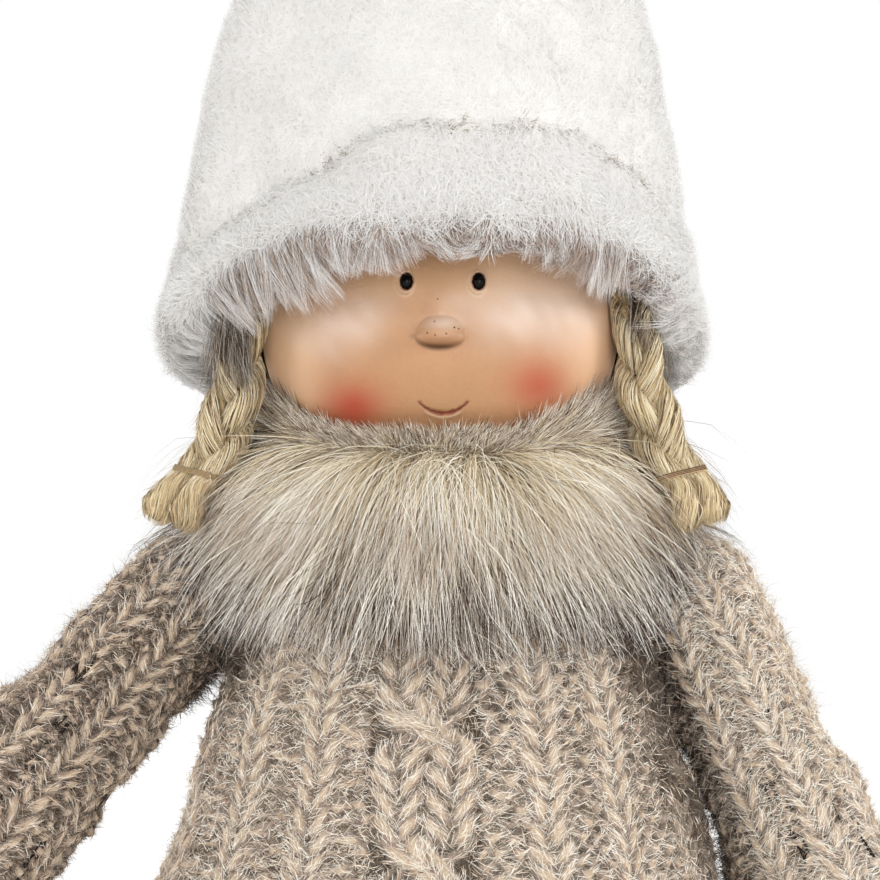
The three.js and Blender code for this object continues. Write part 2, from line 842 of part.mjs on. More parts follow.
function addArm(name, sign, angle) {
  const arm = new THREE.Group();
  arm.position.set(sign * shoulderSpread, 0, shoulderHeight);
  arm.rotation.y = -sign * THREE.MathUtils.degToRad(angle);
  doll.add(arm);
  piece(arm, `sleeve_${name}`, sleeve(), knitTaupe, 0.95);
  piece(arm, `arm_filling_${name}`, armFilling(), stuffing, 1);
  piece(arm, `arm_wire_${name}`, armWire(), steel, 0.4, 1);
  piece(arm, `sleeve_cuff_${name}`, sleeveCuff(), knitTaupe, 0.95);
  piece(arm, `mitten_${name}`, mitten(sign), felt, 0.95);
}

function addLeg(name, sign) {
  const leg = new THREE.Group();
  leg.position.set(sign * legSpread, 0, 0);
  doll.add(leg);
  piece(leg, `boot_sole_${name}`, sole(), soleDark, 0.8);
  piece(leg, `boot_${name}`, boot(), bootBrown, 0.55);
  piece(leg, `boot_cuff_${name}`, bootCuff(), fleeceWhite, 0.95);
  piece(leg, `legging_${name}`, legging(), felt, 0.95);
  piece(leg, `leg_filling_${name}`, legFilling(), stuffing, 1);
  piece(leg, `leg_dowel_${name}`, rod(dowelRadius, dowelBottom, boardTop), wood, 0.7);
}

addTorso();
addHead();
addPlait("left", 1);
addPlait("right", -1);
addArm("left", 1, hangingArmAngle);
addArm("right", -1, liftedArmAngle);
addLeg("left", 1);
addLeg("right", -1);

// The origin is the middle of the doll's box, at the floor.
const box = new THREE.Box3().setFromObject(doll, true);
const middle = box.getCenter(new THREE.Vector3());
doll.position.set(-middle.x, -middle.y, 0);
doll.updateMatrixWorld(true);

export default doll;
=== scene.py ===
# Dresses the winter girl doll: plush hat, painted resin face, jute plaits, long-pile ruff, cable-knit dress.
# Shapes are worked out in millimetres in the doll's own frame: its axis at X = 0, +Z up, the face towards -Y.
import math

import bpy
import numpy as np
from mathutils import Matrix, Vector
from mathutils.kdtree import KDTree


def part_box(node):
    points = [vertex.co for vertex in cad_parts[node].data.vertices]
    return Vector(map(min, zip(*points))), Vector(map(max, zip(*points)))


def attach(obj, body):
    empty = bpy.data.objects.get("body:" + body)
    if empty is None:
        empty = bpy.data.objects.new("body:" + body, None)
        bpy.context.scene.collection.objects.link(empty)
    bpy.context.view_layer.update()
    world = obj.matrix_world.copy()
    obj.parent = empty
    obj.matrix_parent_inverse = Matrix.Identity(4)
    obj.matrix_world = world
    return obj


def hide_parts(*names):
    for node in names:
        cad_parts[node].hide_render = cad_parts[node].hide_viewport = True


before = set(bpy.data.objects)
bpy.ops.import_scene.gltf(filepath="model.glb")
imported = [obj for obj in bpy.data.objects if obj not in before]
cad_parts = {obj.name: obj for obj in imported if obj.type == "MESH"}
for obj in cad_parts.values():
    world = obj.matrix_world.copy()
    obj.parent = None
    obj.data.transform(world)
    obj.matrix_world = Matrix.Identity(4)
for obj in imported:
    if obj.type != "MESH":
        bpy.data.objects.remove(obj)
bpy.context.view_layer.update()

MM = 0.001
TURN = 2 * math.pi
UP = np.array([0, 0, 1.0])
DOWN = np.array([0, 0, -1.0])
head_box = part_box("head_shell")
AXIS = (head_box[0].x + head_box[1].x) / 2 / MM


def node_box(node):
    """A CAD node's lowest and highest corners, in millimetres in the doll's own frame."""
    low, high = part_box(node)
    shift = np.array([AXIS, 0, 0])
    return np.array(low) / MM - shift, np.array(high) / MM - shift


# Camera: the photograph's frame is 880 pixels, 4.5 to a millimetre, level, aimed at the doll's axis
PHOTO_PIXELS = 880
PIXELS_PER_MM = 4.5
CAMERA_DISTANCE = 1200
CAMERA_HEIGHT = 257.8
SENSOR = 36

# Dress: heights of its sections with the half width and half depth of each
DRESS_HEIGHTS = np.array([97, 110, 132, 160, 184, 206, 222, 234, 247.0])
DRESS_WIDTHS = np.array([80, 78, 71, 62.5, 55.5, 50, 45, 35, 24.0])
DRESS_DEPTHS = np.array([62, 60, 55, 49, 44, 40, 37, 31, 24.0])
DRESS_WALL = 2.4
KNIT_REPEATS = 5
COLUMN_ANGLES = (-0.507, 0.415)
CABLE_ANGLE = -0.06
COLUMN_HALF = 4.2
CABLE_HALF = 9.2
STITCH_PITCH = 4.9
CABLE_PITCH = 29
CABLE_CROSSING = 14
CABLE_START = 189.3

# Arms, measured along the arm from the shoulder
SHOULDER_SPREAD = 56
SHOULDER_HEIGHT = 222
ARM_ALONG = np.array([0, 24, 48, 69, 88, 104.0])
ARM_RADII = np.array([15.5, 16.0, 17.2, 19.6, 19.4, 12.8])
HANGING_ANGLE = math.radians(24.5)
LIFTED_ANGLE = math.radians(42)
ARM_ROOM = 4.2
SHOULDER_ROOM = 17.3
CUFF_BAND = (104.3, 115.3)
MITTEN_TOP = CUFF_BAND[1] - 2
MITTEN_TIP = 145.3
MITTEN_KNOTS = np.array([0, 0.18, 0.42, 0.7, 0.9, 1.0])
MITTEN_WIDE = np.array([9.4, 10.8, 13.0, 11.6, 7.6, 2.2])
MITTEN_THICK = np.array([9.0, 8.8, 8.8, 7.9, 5.2, 1.6])

# Head
HEAD_HALF = np.array([39.4, 36, 33])
HEAD_HEIGHT = 281
PILE_GAP = 0.7
EYE_PLACES = (-7.3, 8.4)
EYE_DROP = 1.0
EYE_RISE = 12 - EYE_DROP
NOSE_RISE = 0.1
NOSE_HALF = (5.35, 4.9, 3.15)
MOUTH_HALF = 5.15
MOUTH_SHIFT = 0.7
MOUTH_RISE = -15.2
MOUTH_DROP = 2.2

# Hat
HAT_RIM = np.array([49.9, 46.5])
BROW_HEIGHT = 301
HAT_TOP = 412.6
NAPE_DROP = 29
CUFF_THICK = 9.0
CROWN_STRANDS = 125000
CUFF_STRANDS = 80000
FLAP_ANGLE = 1.05
LINING_STRANDS = (8500, 1500)

# Collar
COLLAR_LOW = 218
COLLAR_SIDE_LOW = 238.5
COLLAR_HIGH = 260
CHEEK_LIFT = 6
COLLAR_BULGE = np.array([49.6, 46.8])
COLLAR_TOP = np.array([36, 35.5])

# Plaits
PLAIT_LEAN = math.radians(16)
PLAIT_FORWARD = math.radians(5)
PLAIT_BOW = 3.0
PLAIT_START = 5.0
TIE_AT = 35.6
PLAIT_PITCH = 42
PLAIT_TOP = -6.5
PLAIT_SPREAD = 3.6
PLAIT_DEPTH = 3.0
CORD_RADIUS = 2.75
TIE_HEIGHT = 1.7
TUFT_LENGTH = 13.5
TUFT_RADIUS = 3.6
TUFT_KICKS = {"left": math.radians(1), "right": math.radians(13)}
TUFT_SPREAD = 0.42
STRAYS = 330
KNOT_FIBRES = 420

# Legs
LEG_SPREAD = 25
BOOT_STRANDS = 6500


def unit(vectors):
    return vectors / np.maximum(np.linalg.norm(vectors, axis=-1, keepdims=True), 1e-9)


def smooth(value):
    value = np.clip(value, 0, 1)
    return value * value * (3 - 2 * value)


def bump(value):
    """1 at zero, falling smoothly to nothing past one."""
    return smooth(1 - np.abs(value))


def follow(x, knots, values):
    """A smooth line through the values at the knots."""
    slopes = np.gradient(values, knots)
    i = np.clip(np.searchsorted(knots, x) - 1, 0, len(knots) - 2)
    step = knots[i + 1] - knots[i]
    t = np.clip((x - knots[i]) / step, 0, 1)
    rise = values[i] * (1 + 2 * t) * (1 - t) ** 2 + values[i + 1] * t * t * (3 - 2 * t)
    return rise + step * (slopes[i] * t * (1 - t) ** 2 - slopes[i + 1] * t * t * (1 - t))


def ripple(points, size, seed, terms=9):
    """Soft random relief, mostly from -1 to 1, with features of about the given size."""
    rng = np.random.default_rng(seed)
    total = np.zeros(points.shape[:-1])
    for _ in range(terms):
        heading = unit(rng.normal(size=3)) * TURN / size * rng.uniform(0.6, 1.5)
        total += np.sin(points @ heading + rng.uniform(0, TURN))
    return total / math.sqrt(terms)


def to_frame(points):
    return (points + np.array([AXIS, 0, 0])) * MM


def turned_y(points, angle):
    """Points turned about the Y axis, so that a positive angle swings what hangs down towards +X."""
    c, s = math.cos(angle), math.sin(angle)
    x, y, z = points[..., 0], points[..., 1], points[..., 2]
    return np.stack([x * c - z * s, y, x * s + z * c], -1)


def turned_x(points, angle):
    """Points turned about the X axis, so that a positive angle swings what hangs down towards the back."""
    c, s = math.cos(angle), math.sin(angle)
    x, y, z = points[..., 0], points[..., 1], points[..., 2]
    return np.stack([x, y * c - z * s, y * s + z * c], -1)


def dress_size(heights):
    """Half width and half depth of the dress at the given heights."""
    return follow(heights, DRESS_HEIGHTS, DRESS_WIDTHS), follow(heights, DRESS_HEIGHTS, DRESS_DEPTHS)


# Meshes
def build_mesh(name, points, faces, material, uv=None, normals=None, attributes=None):
    """faces is a list of index arrays, and uv a list of matching corner coordinates."""
    mesh = bpy.data.meshes.new(name)
    mesh.vertices.add(len(points))
    mesh.vertices.foreach_set("co", to_frame(points).astype(np.float32).ravel())
    corners = np.concatenate([f.ravel() for f in faces]).astype(np.int32)
    sides = np.concatenate([np.full(len(f), f.shape[1]) for f in faces])
    mesh.loops.add(len(corners))
    mesh.loops.foreach_set("vertex_index", corners)
    mesh.polygons.add(len(sides))
    mesh.polygons.foreach_set("loop_start", (np.cumsum(sides) - sides).astype(np.int32))
    mesh.polygons.foreach_set("use_smooth", np.ones(len(sides), bool))
    mesh.update(calc_edges=True)
    if uv is not None:
        layer = mesh.uv_layers.new(name="OFBake")
        layer.data.foreach_set("uv", np.concatenate([u.reshape(-1, 2) for u in uv]).astype(np.float32).ravel())
    for key, values in (attributes or {}).items():
        attribute = mesh.attributes.new(key, "FLOAT", "POINT")
        attribute.data.foreach_set("value", np.asarray(values, np.float32).ravel())
    if normals is not None:
        mesh.normals_split_custom_set_from_vertices(normals.astype(np.float32))
    mesh.materials.append(material)
    piece = bpy.data.objects.new(name, mesh)
    bpy.context.scene.collection.objects.link(piece)
    return piece


def signed_volume(points, faces):
    total = 0.0
    for f in faces:
        for k in range(1, f.shape[1] - 1):
            a, b, c = points[f[:, 0]], points[f[:, k]], points[f[:, k + 1]]
            total += np.einsum("ij,ij->i", a, np.cross(b, c)).sum()
    return total


def skin_parts(rings, looped=False):
    """Points, faces and corner coordinates of a closed skin over rings of points."""
    rows, cols = rings.shape[:2]
    points = rings.reshape(-1, 3)
    r, c = np.meshgrid(np.arange(rows if looped else rows - 1), np.arange(cols), indexing="ij")
    r, c = r.ravel(), c.ravel()
    up, across = (r + 1) % rows, (c + 1) % cols
    faces = [np.stack([r * cols + c, r * cols + across, up * cols + across, up * cols + c], -1)]
    v0, v1, u0, u1 = r / rows, (r + 1) / rows, c / cols, (c + 1) / cols
    uv = [np.stack([u0, v0, u1, v0, u1, v1, u0, v1], -1).reshape(-1, 4, 2)]
    if not looped:
        hub = len(points)
        points = np.vstack([points, rings[0].mean(0), rings[-1].mean(0)])
        j = np.arange(cols)
        k = (j + 1) % cols
        last = (rows - 1) * cols
        faces += [np.stack([np.full(cols, hub), k, j], -1), np.stack([np.full(cols, hub + 1), last + j, last + k], -1)]
        for height, order in ((0.0, (1, 0)), ((rows - 1) / rows, (0, 1))):
            edge = np.stack([j / cols, (j + 1) / cols], -1)[:, order]
            flat = np.stack([np.full(cols, 0.5), np.full(cols, height), edge[:, 0], np.full(cols, height),
                             edge[:, 1], np.full(cols, height)], -1)
            uv.append(flat.reshape(-1, 3, 2))
    if signed_volume(points, faces) < 0:
        faces = [f[:, ::-1] for f in faces]
        uv = [u[:, ::-1] for u in uv]
    return points, faces, uv


def skin(name, rings, material, looped=False, attributes=None, normals=None):
    """A closed skin as an object; attributes that stop short of its last points are 0 there."""
    points, faces, uv = skin_parts(rings, looped)
    padded = {key: np.concatenate([np.ravel(values), np.zeros(len(points) - np.size(values))])
              for key, values in (attributes or {}).items()}
    if normals is not None:
        normals = np.vstack([normals.reshape(-1, 3), DOWN, UP])
    return build_mesh(name, points, faces, material, uv, normals, padded)


def joined(name, parts, material):
    """One mesh from several (points, faces, uv) parts."""
    points, faces, uv, base = [], [], [], 0
    for p, f, u in parts:
        points.append(p)
        faces += [a + base for a in f]
        uv += u
        base += len(p)
    return build_mesh(name, np.vstack(points), faces, material, uv)


def ring(height, half_width, half_depth, angles, centre=(0, 0)):
    """Points round a ring, or round a grid of them, running from the front towards +X."""
    x = centre[0] + half_width * np.sin(angles)
    y = centre[1] - half_depth * np.cos(angles)
    return np.stack(np.broadcast_arrays(x, y, height), -1)


def over_rows(angles, rows):
    return angles[None] * np.ones((rows, 1))


def row_places(grid):
    """The place of each cell of a grid of rings, from 0 at the first ring to 1 at the last."""
    return np.linspace(0, 1, len(grid) - 1)[:, None] * np.ones((1, grid.shape[1]))


def round_angles(count):
    return np.arange(count) * TURN / count


def wrapped(turn):
    """The same angle within half a turn of the front."""
    return (turn + TURN / 2) % TURN - TURN / 2


def swept(side, front, turns):
    """Directions round an axis, from the two directions across it."""
    return side * np.cos(turns)[..., None] + front * np.sin(turns)[..., None]


def grid_normals(grid):
    """Outward unit normals of a grid of rings, each ring running round from the front towards +X."""
    across = np.roll(grid, -1, 1) - np.roll(grid, 1, 1)
    along = np.gradient(grid, axis=0)
    normals = unit(np.cross(across, along))
    outward = grid - grid.mean(1, keepdims=True)
    return normals * np.sign((normals * outward).sum(-1).mean() or 1)


def with_wall(outer, thickness, inner_rows=10):
    """Rings of a shell: the outer surface, then a coarser inner one back down, to be looped."""
    normals = grid_normals(outer)
    pick = np.linspace(len(outer) - 1, 0, inner_rows).round().astype(int)
    inner = (outer - normals * thickness)[pick]
    return np.concatenate([outer, inner])


def scatter(grid, count, rng, weight=None):
    """Random places over a grid of rings: points, normals, the row of each from 0 to 1, and its angle."""
    normals = grid_normals(grid)
    ahead, normals_ahead = np.roll(grid, -1, 1), np.roll(normals, -1, 1)
    area = np.linalg.norm(np.cross(ahead[1:] - grid[:-1], grid[1:] - ahead[:-1]), axis=-1)
    if weight is not None:
        area = area * weight
    cell = rng.choice(area.size, count, p=(area / area.sum()).ravel())
    r, c = np.divmod(cell, grid.shape[1])
    u, v = rng.random((2, count))[..., None]

    def mixed(here, there):
        low = here[r, c] * (1 - u) + there[r, c] * u
        high = here[r + 1, c] * (1 - u) + there[r + 1, c] * u
        return low * (1 - v) + high * v

    row = (r + v[:, 0]) / (grid.shape[0] - 1)
    return mixed(grid, ahead), unit(mixed(normals, normals_ahead)), row, (c + u[:, 0]) / grid.shape[1] * TURN


def downhill(normals):
    """The way down along a surface."""
    return unit(DOWN - normals * (normals @ DOWN)[:, None])


def level_outward(points):
    """Level directions straight out from the doll's axis."""
    return unit(points * np.array([1, 1, 0]))


def round_the_ring(turn):
    """Directions along a ring at the given angles."""
    return np.stack([np.cos(turn), np.sin(turn), np.zeros(len(turn))], -1)


# Fibres
FIBRE_TIP = 0.12


def strand_paths(roots, start, finish, lengths, steps):
    """Lines that leave along start and end up along finish."""
    t = np.linspace(0, 1, steps)[None, 1:, None]
    headings = unit(start[:, None] * (1 - t) + finish[:, None] * t)
    moves = headings * (lengths / (steps - 1))[:, None, None]
    return np.concatenate([roots[:, None], roots[:, None] + np.cumsum(moves, 1)], 1)


def lock_leaders(roots, spacing, rng):
    """For each strand, which one leads its lock; the leaders are about the given distance apart."""
    span = max(float(np.prod(np.sort(np.ptp(roots, axis=0))[1:])), 1.0)
    leaders = rng.choice(len(roots), min(len(roots), max(2, int(2.5 * span / spacing**2))), replace=False)
    tree = KDTree(len(leaders))
    for i, leader in enumerate(leaders):
        tree.insert(roots[leader], i)
    tree.balance()
    return leaders[[tree.find(root)[1] for root in roots]]


def clump(paths, spacing, pull, rng, ragged=0.3, nearest=None):
    """Draws the ends of the strands towards the leaders of their locks."""
    if nearest is None:
        nearest = lock_leaders(paths[:, 0], spacing, rng)
    share = (np.linspace(0, 1, paths.shape[1]) ** 1.4)[None, :, None]
    amount = pull * rng.uniform(1 - ragged, 1, len(paths))[:, None, None] * share
    return paths * (1 - amount) + paths[nearest] * amount


def ribbons(paths, facing, widths, tones, rng, twist, flat):
    """Points, faces, corner coordinates and shading normals of flat tapering fibres along the paths."""
    count, steps = paths.shape[:2]
    tangents = unit(np.gradient(paths, axis=1))
    side = unit(np.cross(tangents, facing[:, None]))
    lift = np.cross(side, tangents)
    turn = rng.uniform(-twist, twist, count)[:, None, None]
    side, lift = side * np.cos(turn) + lift * np.sin(turn), lift * np.cos(turn) - side * np.sin(turn)
    t = np.linspace(0, 1, steps)
    profile = np.minimum(1, 0.55 + 3 * t) * (1 - (1 - FIBRE_TIP) * t**2.2)
    half = side * (widths[:, None, None] / 2) * profile[None, :, None]
    points = np.stack([paths - half, paths + half], 2).reshape(-1, 3)
    first = (np.arange(count)[:, None] * steps + np.arange(steps - 1)[None]).ravel() * 2
    faces = np.stack([first, first + 1, first + 3, first + 2], -1)
    u = np.repeat(tones, (steps - 1) * 4)
    v = np.tile(np.stack([t[:-1], t[:-1], t[1:], t[1:]], -1).ravel(), count)
    shading = unit(lift * (0.7 - 0.55 * flat) + facing[:, None] * (0.6 + 0.4 * flat))
    normals = np.repeat(shading, 2, axis=1).reshape(-1, 3)
    return points, [faces], [np.stack([u, v], -1).reshape(-1, 4, 2)], normals


def fur(name, paths, facing, widths, tones, rng, material, body, slot, pieces=1, twist=0.7, flat=0.0):
    """Fibres as one or more pieces that ride on a body."""
    for i in range(pieces):
        pick = slice(i, None, pieces)
        parts = ribbons(paths[pick], facing[pick], widths[pick], tones[pick], rng, twist, flat)
        label = name if pieces == 1 else f"{name}_{i + 1}"
        dress(build_mesh(label, *parts[:2], material, *parts[2:]), body, slot)


def dress(piece, body, slot, *replaces):
    """A piece tied to its body, with the CAD nodes it stands for hidden; slot is not used."""
    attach(piece, body)
    if replaces:
        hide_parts(*replaces)
    return piece


def off_head(points, gap=PILE_GAP):
    """Points moved out of the head and a gap round it."""
    return pushed_out(points, (0, 0, HEAD_HEIGHT), HEAD_HALF + gap)


def pushed_out(points, centre, radii):
    """Points moved out of an ellipsoid, along the line from its centre."""
    away = (points - np.array(centre)) / np.array(radii)
    reach = np.linalg.norm(away, axis=-1, keepdims=True)
    return np.where(reach < 1, np.array(centre) + away / np.maximum(reach, 1e-6) * np.array(radii), points)


# Materials
def srgb(red, green, blue):
    """A colour written as 0 to 255 on screen, as the shader wants it."""
    linear = [c / 255 / 12.92 if c <= 10 else ((c / 255 + 0.055) / 1.055) ** 2.4 for c in (red, green, blue)]
    return (*linear, 1)


class NodeTree:
    """Short ways to add nodes to a tree and to join them. In input names an underscore stands for a space."""

    def __init__(self, tree):
        self.tree = tree

    def node(self, kind, settings=None, **inputs):
        made = self.tree.nodes.new(kind)
        for key, value in (settings or {}).items():
            setattr(made, key, value)
        for key, value in inputs.items():
            self.feed(value, made.inputs[key.replace("_", " ")])
        return made

    def feed(self, value, socket):
        if isinstance(value, bpy.types.NodeSocket):
            self.tree.links.new(value, socket)
        else:
            socket.default_value = value

    def math(self, operation, *values):
        made = self.node("ShaderNodeMath", {"operation": operation})
        for i, value in enumerate(values):
            self.feed(value, made.inputs[i])
        return made.outputs[0]

    def mix(self, amount, first, second, blend="MIX"):
        made = self.node("ShaderNodeMix", {"data_type": "RGBA", "blend_type": blend})
        self.feed(amount, made.inputs[0])
        self.feed(first, made.inputs[6])
        self.feed(second, made.inputs[7])
        return made.outputs[2]

    def ramp(self, value, *stops):
        made = self.node("ShaderNodeValToRGB", Fac=value)
        ends = made.color_ramp.elements
        while len(ends) < len(stops):
            ends.new(0.5)
        for element, (place, colour) in zip(ends, stops):
            element.position = place
            element.color = srgb(*colour)
        return made.outputs[0]

    def span(self, value, low, high, kind="SMOOTHSTEP"):
        """0 at the low value, rising to 1 at the high one."""
        return self.node("ShaderNodeMapRange", {"interpolation_type": kind}, Value=value, From_Min=low,
                         From_Max=high).outputs[0]


class Shader(NodeTree):
    """A material's node tree."""

    def __init__(self, name, roughness=0.9, sheen=0.0, specular=0.5):
        self.material = bpy.data.materials.new(name)
        self.material.use_nodes = True
        super().__init__(self.material.node_tree)
        self.surface = self.tree.nodes["Principled BSDF"]
        self.set(Roughness=roughness, Sheen_Weight=sheen, Specular_IOR_Level=specular)

    def set(self, **inputs):
        for key, value in inputs.items():
            self.feed(value, self.surface.inputs[key.replace("_", " ")])

    def attribute(self, name):
        return self.node("ShaderNodeAttribute", {"attribute_name": name}).outputs["Fac"]

    def place(self):
        return self.node("ShaderNodeTexCoord").outputs["Object"]

    def corner(self):
        """The two parts of the corner coordinates."""
        place = self.node("ShaderNodeUVMap", {"uv_map": "OFBake"}).outputs[0]
        return self.node("ShaderNodeSeparateXYZ", Vector=place).outputs[:2]

    def noise(self, size_mm, detail=2.0, distortion=0.0, stretch=None):
        """Noise with features of about the given size in millimetres."""
        vector = self.place()
        if stretch:
            vector = self.node("ShaderNodeMapping", Vector=vector, Scale=stretch).outputs[0]
        made = self.node("ShaderNodeTexNoise", Vector=vector, Scale=1 / (size_mm * MM), Detail=detail,
                         Distortion=distortion)
        return made.outputs["Fac"]

    def relief(self, height, depth_mm, strength=1.0):
        made = self.node("ShaderNodeBump", Height=height, Distance=depth_mm * MM, Strength=strength)
        self.set(Normal=made.outputs[0])

    def colour(self, value):
        self.set(Base_Color=value)


made_materials = {}


def shared_material(name, make, *settings):
    """The script's own material of that name, made when it is first asked for."""
    if name not in made_materials:
        made_materials[name] = make(name, *settings)
    return made_materials[name]


def fibre_material(name, ramps, roughness=0.75, sheen=0.2, specular=0.25, through=0.0):
    """Fibre colours from the corner coordinates: the first runs across the mix of fibres and picks between
    the ramps, and the second runs from root to tip along them. ramps is a list of (up to, stops), and through
    is how much of the light passes through the fibres."""
    shader = Shader(name, roughness, sheen, specular)
    tone, along = shader.corner()
    colour = shader.ramp(along, *ramps[0][1])
    for (edge, _), (_, stops) in zip(ramps[:-1], ramps[1:]):
        colour = shader.mix(shader.span(tone, edge - 0.06, edge + 0.06), colour, shader.ramp(along, *stops))
    speckle = shader.node("ShaderNodeTexNoise", {"noise_dimensions": "1D"}, W=tone, Scale=90.0, Detail=1.0)
    shade = shader.span(speckle.outputs["Fac"], 0.25, 0.75)
    colour = shader.mix(0.22, colour, shader.ramp(shade, (0, (70, 70, 70)), (1, (255, 255, 255))), "SOFT_LIGHT")
    shader.colour(colour)
    if through:
        behind = shader.node("ShaderNodeBsdfTranslucent", Color=colour)
        both = shader.node("ShaderNodeMixShader")
        both.inputs[0].default_value = through
        shader.feed(shader.surface.outputs[0], both.inputs[1])
        shader.feed(behind.outputs[0], both.inputs[2])
        shader.feed(both.outputs[0], shader.tree.nodes["Material Output"].inputs["Surface"])
    return shader.material


def knit_material(name, dark, middle, light):
    """Wool yarn: painted shade in the gaps between the stitches and painted light on their crests, with the fine lie of
    its fibres.
    """
    shader = Shader(name, 0.92, 0.1, 0.12)
    depth = shader.attribute("relief")
    yarn = shader.ramp(depth, (0.0, dark), (0.38, middle), (0.85, light))
    fibres = shader.noise(0.55, 3, 1.5)
    patch = shader.noise(9, 2)
    worn = shader.mix(0.7, yarn, shader.ramp(fibres, (0.32, (70, 72, 74)), (0.7, (196, 197, 198))), "OVERLAY")
    shader.colour(shader.mix(0.25, worn, shader.ramp(patch, (0.3, (110, 108, 106)), (0.7, (146, 146, 146))), "OVERLAY"))
    shader.relief(fibres, 0.35, 0.8)
    return shader.material


def stuffing_material(name):
    shader = Shader(name, 0.95, 0.3, 0.2)
    lumps = shader.noise(3, 4, 2)
    shader.colour(shader.ramp(lumps, (0.3, (214, 211, 204)), (0.7, (240, 238, 233))))
    shader.relief(lumps, 1.0)
    return shader.material


def wood_material():
    shader = Shader("turned_wood", 0.6)
    grain = shader.noise(2.2, 4, 1.2, stretch=(1, 1, 0.12))
    pores = shader.noise(0.5, 2, stretch=(1, 1, 0.08))
    tan = shader.ramp(grain, (0.3, (168, 122, 76)), (0.55, (196, 152, 104)), (0.75, (181, 136, 88)))
    shader.colour(shader.mix(0.35, tan, shader.ramp(pores, (0.35, (105, 85, 60)), (0.6, (235, 225, 210))), "MULTIPLY"))
    shader.relief(pores, 0.15)
    return shader.material


def steel_material():
    shader = Shader("drawn_wire", 0.35)
    shader.set(Metallic=1.0)
    drawn = shader.noise(0.4, 2, stretch=(1, 1, 0.05))
    shader.colour(shader.ramp(drawn, (0.3, (120, 122, 126)), (0.7, (168, 170, 174))))
    return shader.material


def felt_material(name, dark, light):
    shader = Shader(name, 0.95, 0.4, 0.15)
    wisps = shader.noise(0.8, 4, 3)
    patch = shader.noise(7, 2)
    base = shader.ramp(wisps, (0.3, dark), (0.72, light))
    shader.colour(shader.mix(0.3, base, shader.ramp(patch, (0.3, (112, 110, 108)), (0.7, (144, 144, 144))), "OVERLAY"))
    shader.relief(wisps, 0.3, 0.7)
    return shader.material


def leather_material(name):
    shader = Shader(name, 0.5, 0.0, 0.4)
    cells = shader.node("ShaderNodeTexVoronoi", {"feature": "DISTANCE_TO_EDGE"}, Vector=shader.place(), Scale=900.0)
    grain = shader.span(cells.outputs["Distance"], 0.0, 0.25)
    cloud = shader.noise(8, 3)
    brown = shader.ramp(cloud, (0.3, (102, 72, 50)), (0.55, (126, 92, 66)), (0.75, (146, 110, 82)))
    # Lighter where the creases stand out
    lighter_on_creases = shader.mix(shader.span(shader.attribute("relief"), 0.4, 1.0), brown, srgb(160, 124, 94))
    shader.colour(shader.mix(0.4, lighter_on_creases, shader.ramp(grain, (0, (90, 80, 72)), (1, (255, 255, 255))), "MULTIPLY"))
    shader.relief(grain, 0.12, 0.6)
    return shader.material


def sole_material(name):
    shader = Shader(name, 0.75)
    speck = shader.noise(0.7, 3)
    dust = shader.noise(6, 2)
    dark = shader.ramp(speck, (0.35, (48, 39, 33)), (0.7, (72, 60, 52)))
    shader.colour(shader.mix(shader.span(dust, 0.5, 0.8), dark, srgb(92, 80, 70)))
    shader.relief(speck, 0.2)
    return shader.material


# Colours laid over the tan: painted light at the face's edges and under the brim, painted highlights, painted shade,
# the blush, the mouth and socket paint, and the eye rims
PAINT_LAYERS = {"edge": (252, 210, 170), "painted_highlight": (240, 217, 200), "shadow": (138, 92, 60), "blush": (184, 76, 49),
                "mouth": (138, 58, 40), "rim": (232, 200, 170)}
# Pinholes in the paint: place across, rise over the head's middle, and radius
PINHOLES = ((-2.75, -0.2, 0.17), (-1.05, -0.65, 0.15), (1.35, -0.35, 0.17), (3.1, 1.0, 0.17), (4.05, 0.75, 0.14),
            (-1.2, 2.3, 0.13), (-0.5, 7.2, 0.14))


def skin_material():
    """Painted resin: a warm tan with painted highlights, a sprayed blush, a painted mouth and a few pinholes, with
    painted shade and painted light laid over it.
    """
    shader = Shader("painted_resin", 0.42, 0.0, 0.45)
    cloud = shader.noise(14, 2)
    fine = shader.noise(1.2, 3)
    tan = shader.ramp(cloud, (0.3, (196, 148, 105)), (0.7, (204, 156, 113)))
    tan = shader.mix(0.16, tan, shader.ramp(fine, (0.3, (108, 104, 100)), (0.7, (150, 150, 150))), "OVERLAY")
    for layer, paint in PAINT_LAYERS.items():
        tan = shader.mix(shader.attribute(layer), tan, srgb(*paint))
    split = shader.node("ShaderNodeSeparateXYZ", Vector=shader.place())
    flat = shader.node("ShaderNodeCombineXYZ", X=split.outputs[0], Z=split.outputs[2]).outputs[0]
    pits = None
    for across, rise, size in PINHOLES:
        spot = ((across + AXIS) * MM, 0, (HEAD_HEIGHT + rise) * MM)
        away = shader.node("ShaderNodeVectorMath", {"operation": "DISTANCE"})
        shader.feed(flat, away.inputs[0])
        shader.feed(spot, away.inputs[1])
        pit = shader.span(away.outputs["Value"], (size + 0.1) * MM, (size - 0.06) * MM)
        pits = pit if pits is None else shader.math("MAXIMUM", pits, pit)
    pits = shader.math("MULTIPLY", pits, shader.span(split.outputs[1], -0.01, -0.02, "LINEAR"))
    # Pinholes, and the painted shadow line under the nose with the darker cut of the mouth
    shader.colour(shader.mix(shader.math("MAXIMUM", pits, shader.attribute("dark")), tan, srgb(60, 38, 25)))
    shader.relief(shader.noise(1.1, 3), 0.09, 0.7)
    return shader.material


def eye_material():
    shader = Shader("glossy_bead", 0.2, 0.0, 0.12)
    shader.colour(shader.ramp(shader.noise(1.5, 1), (0.3, (9, 8, 8)), (0.7, (22, 19, 18))))
    return shader.material


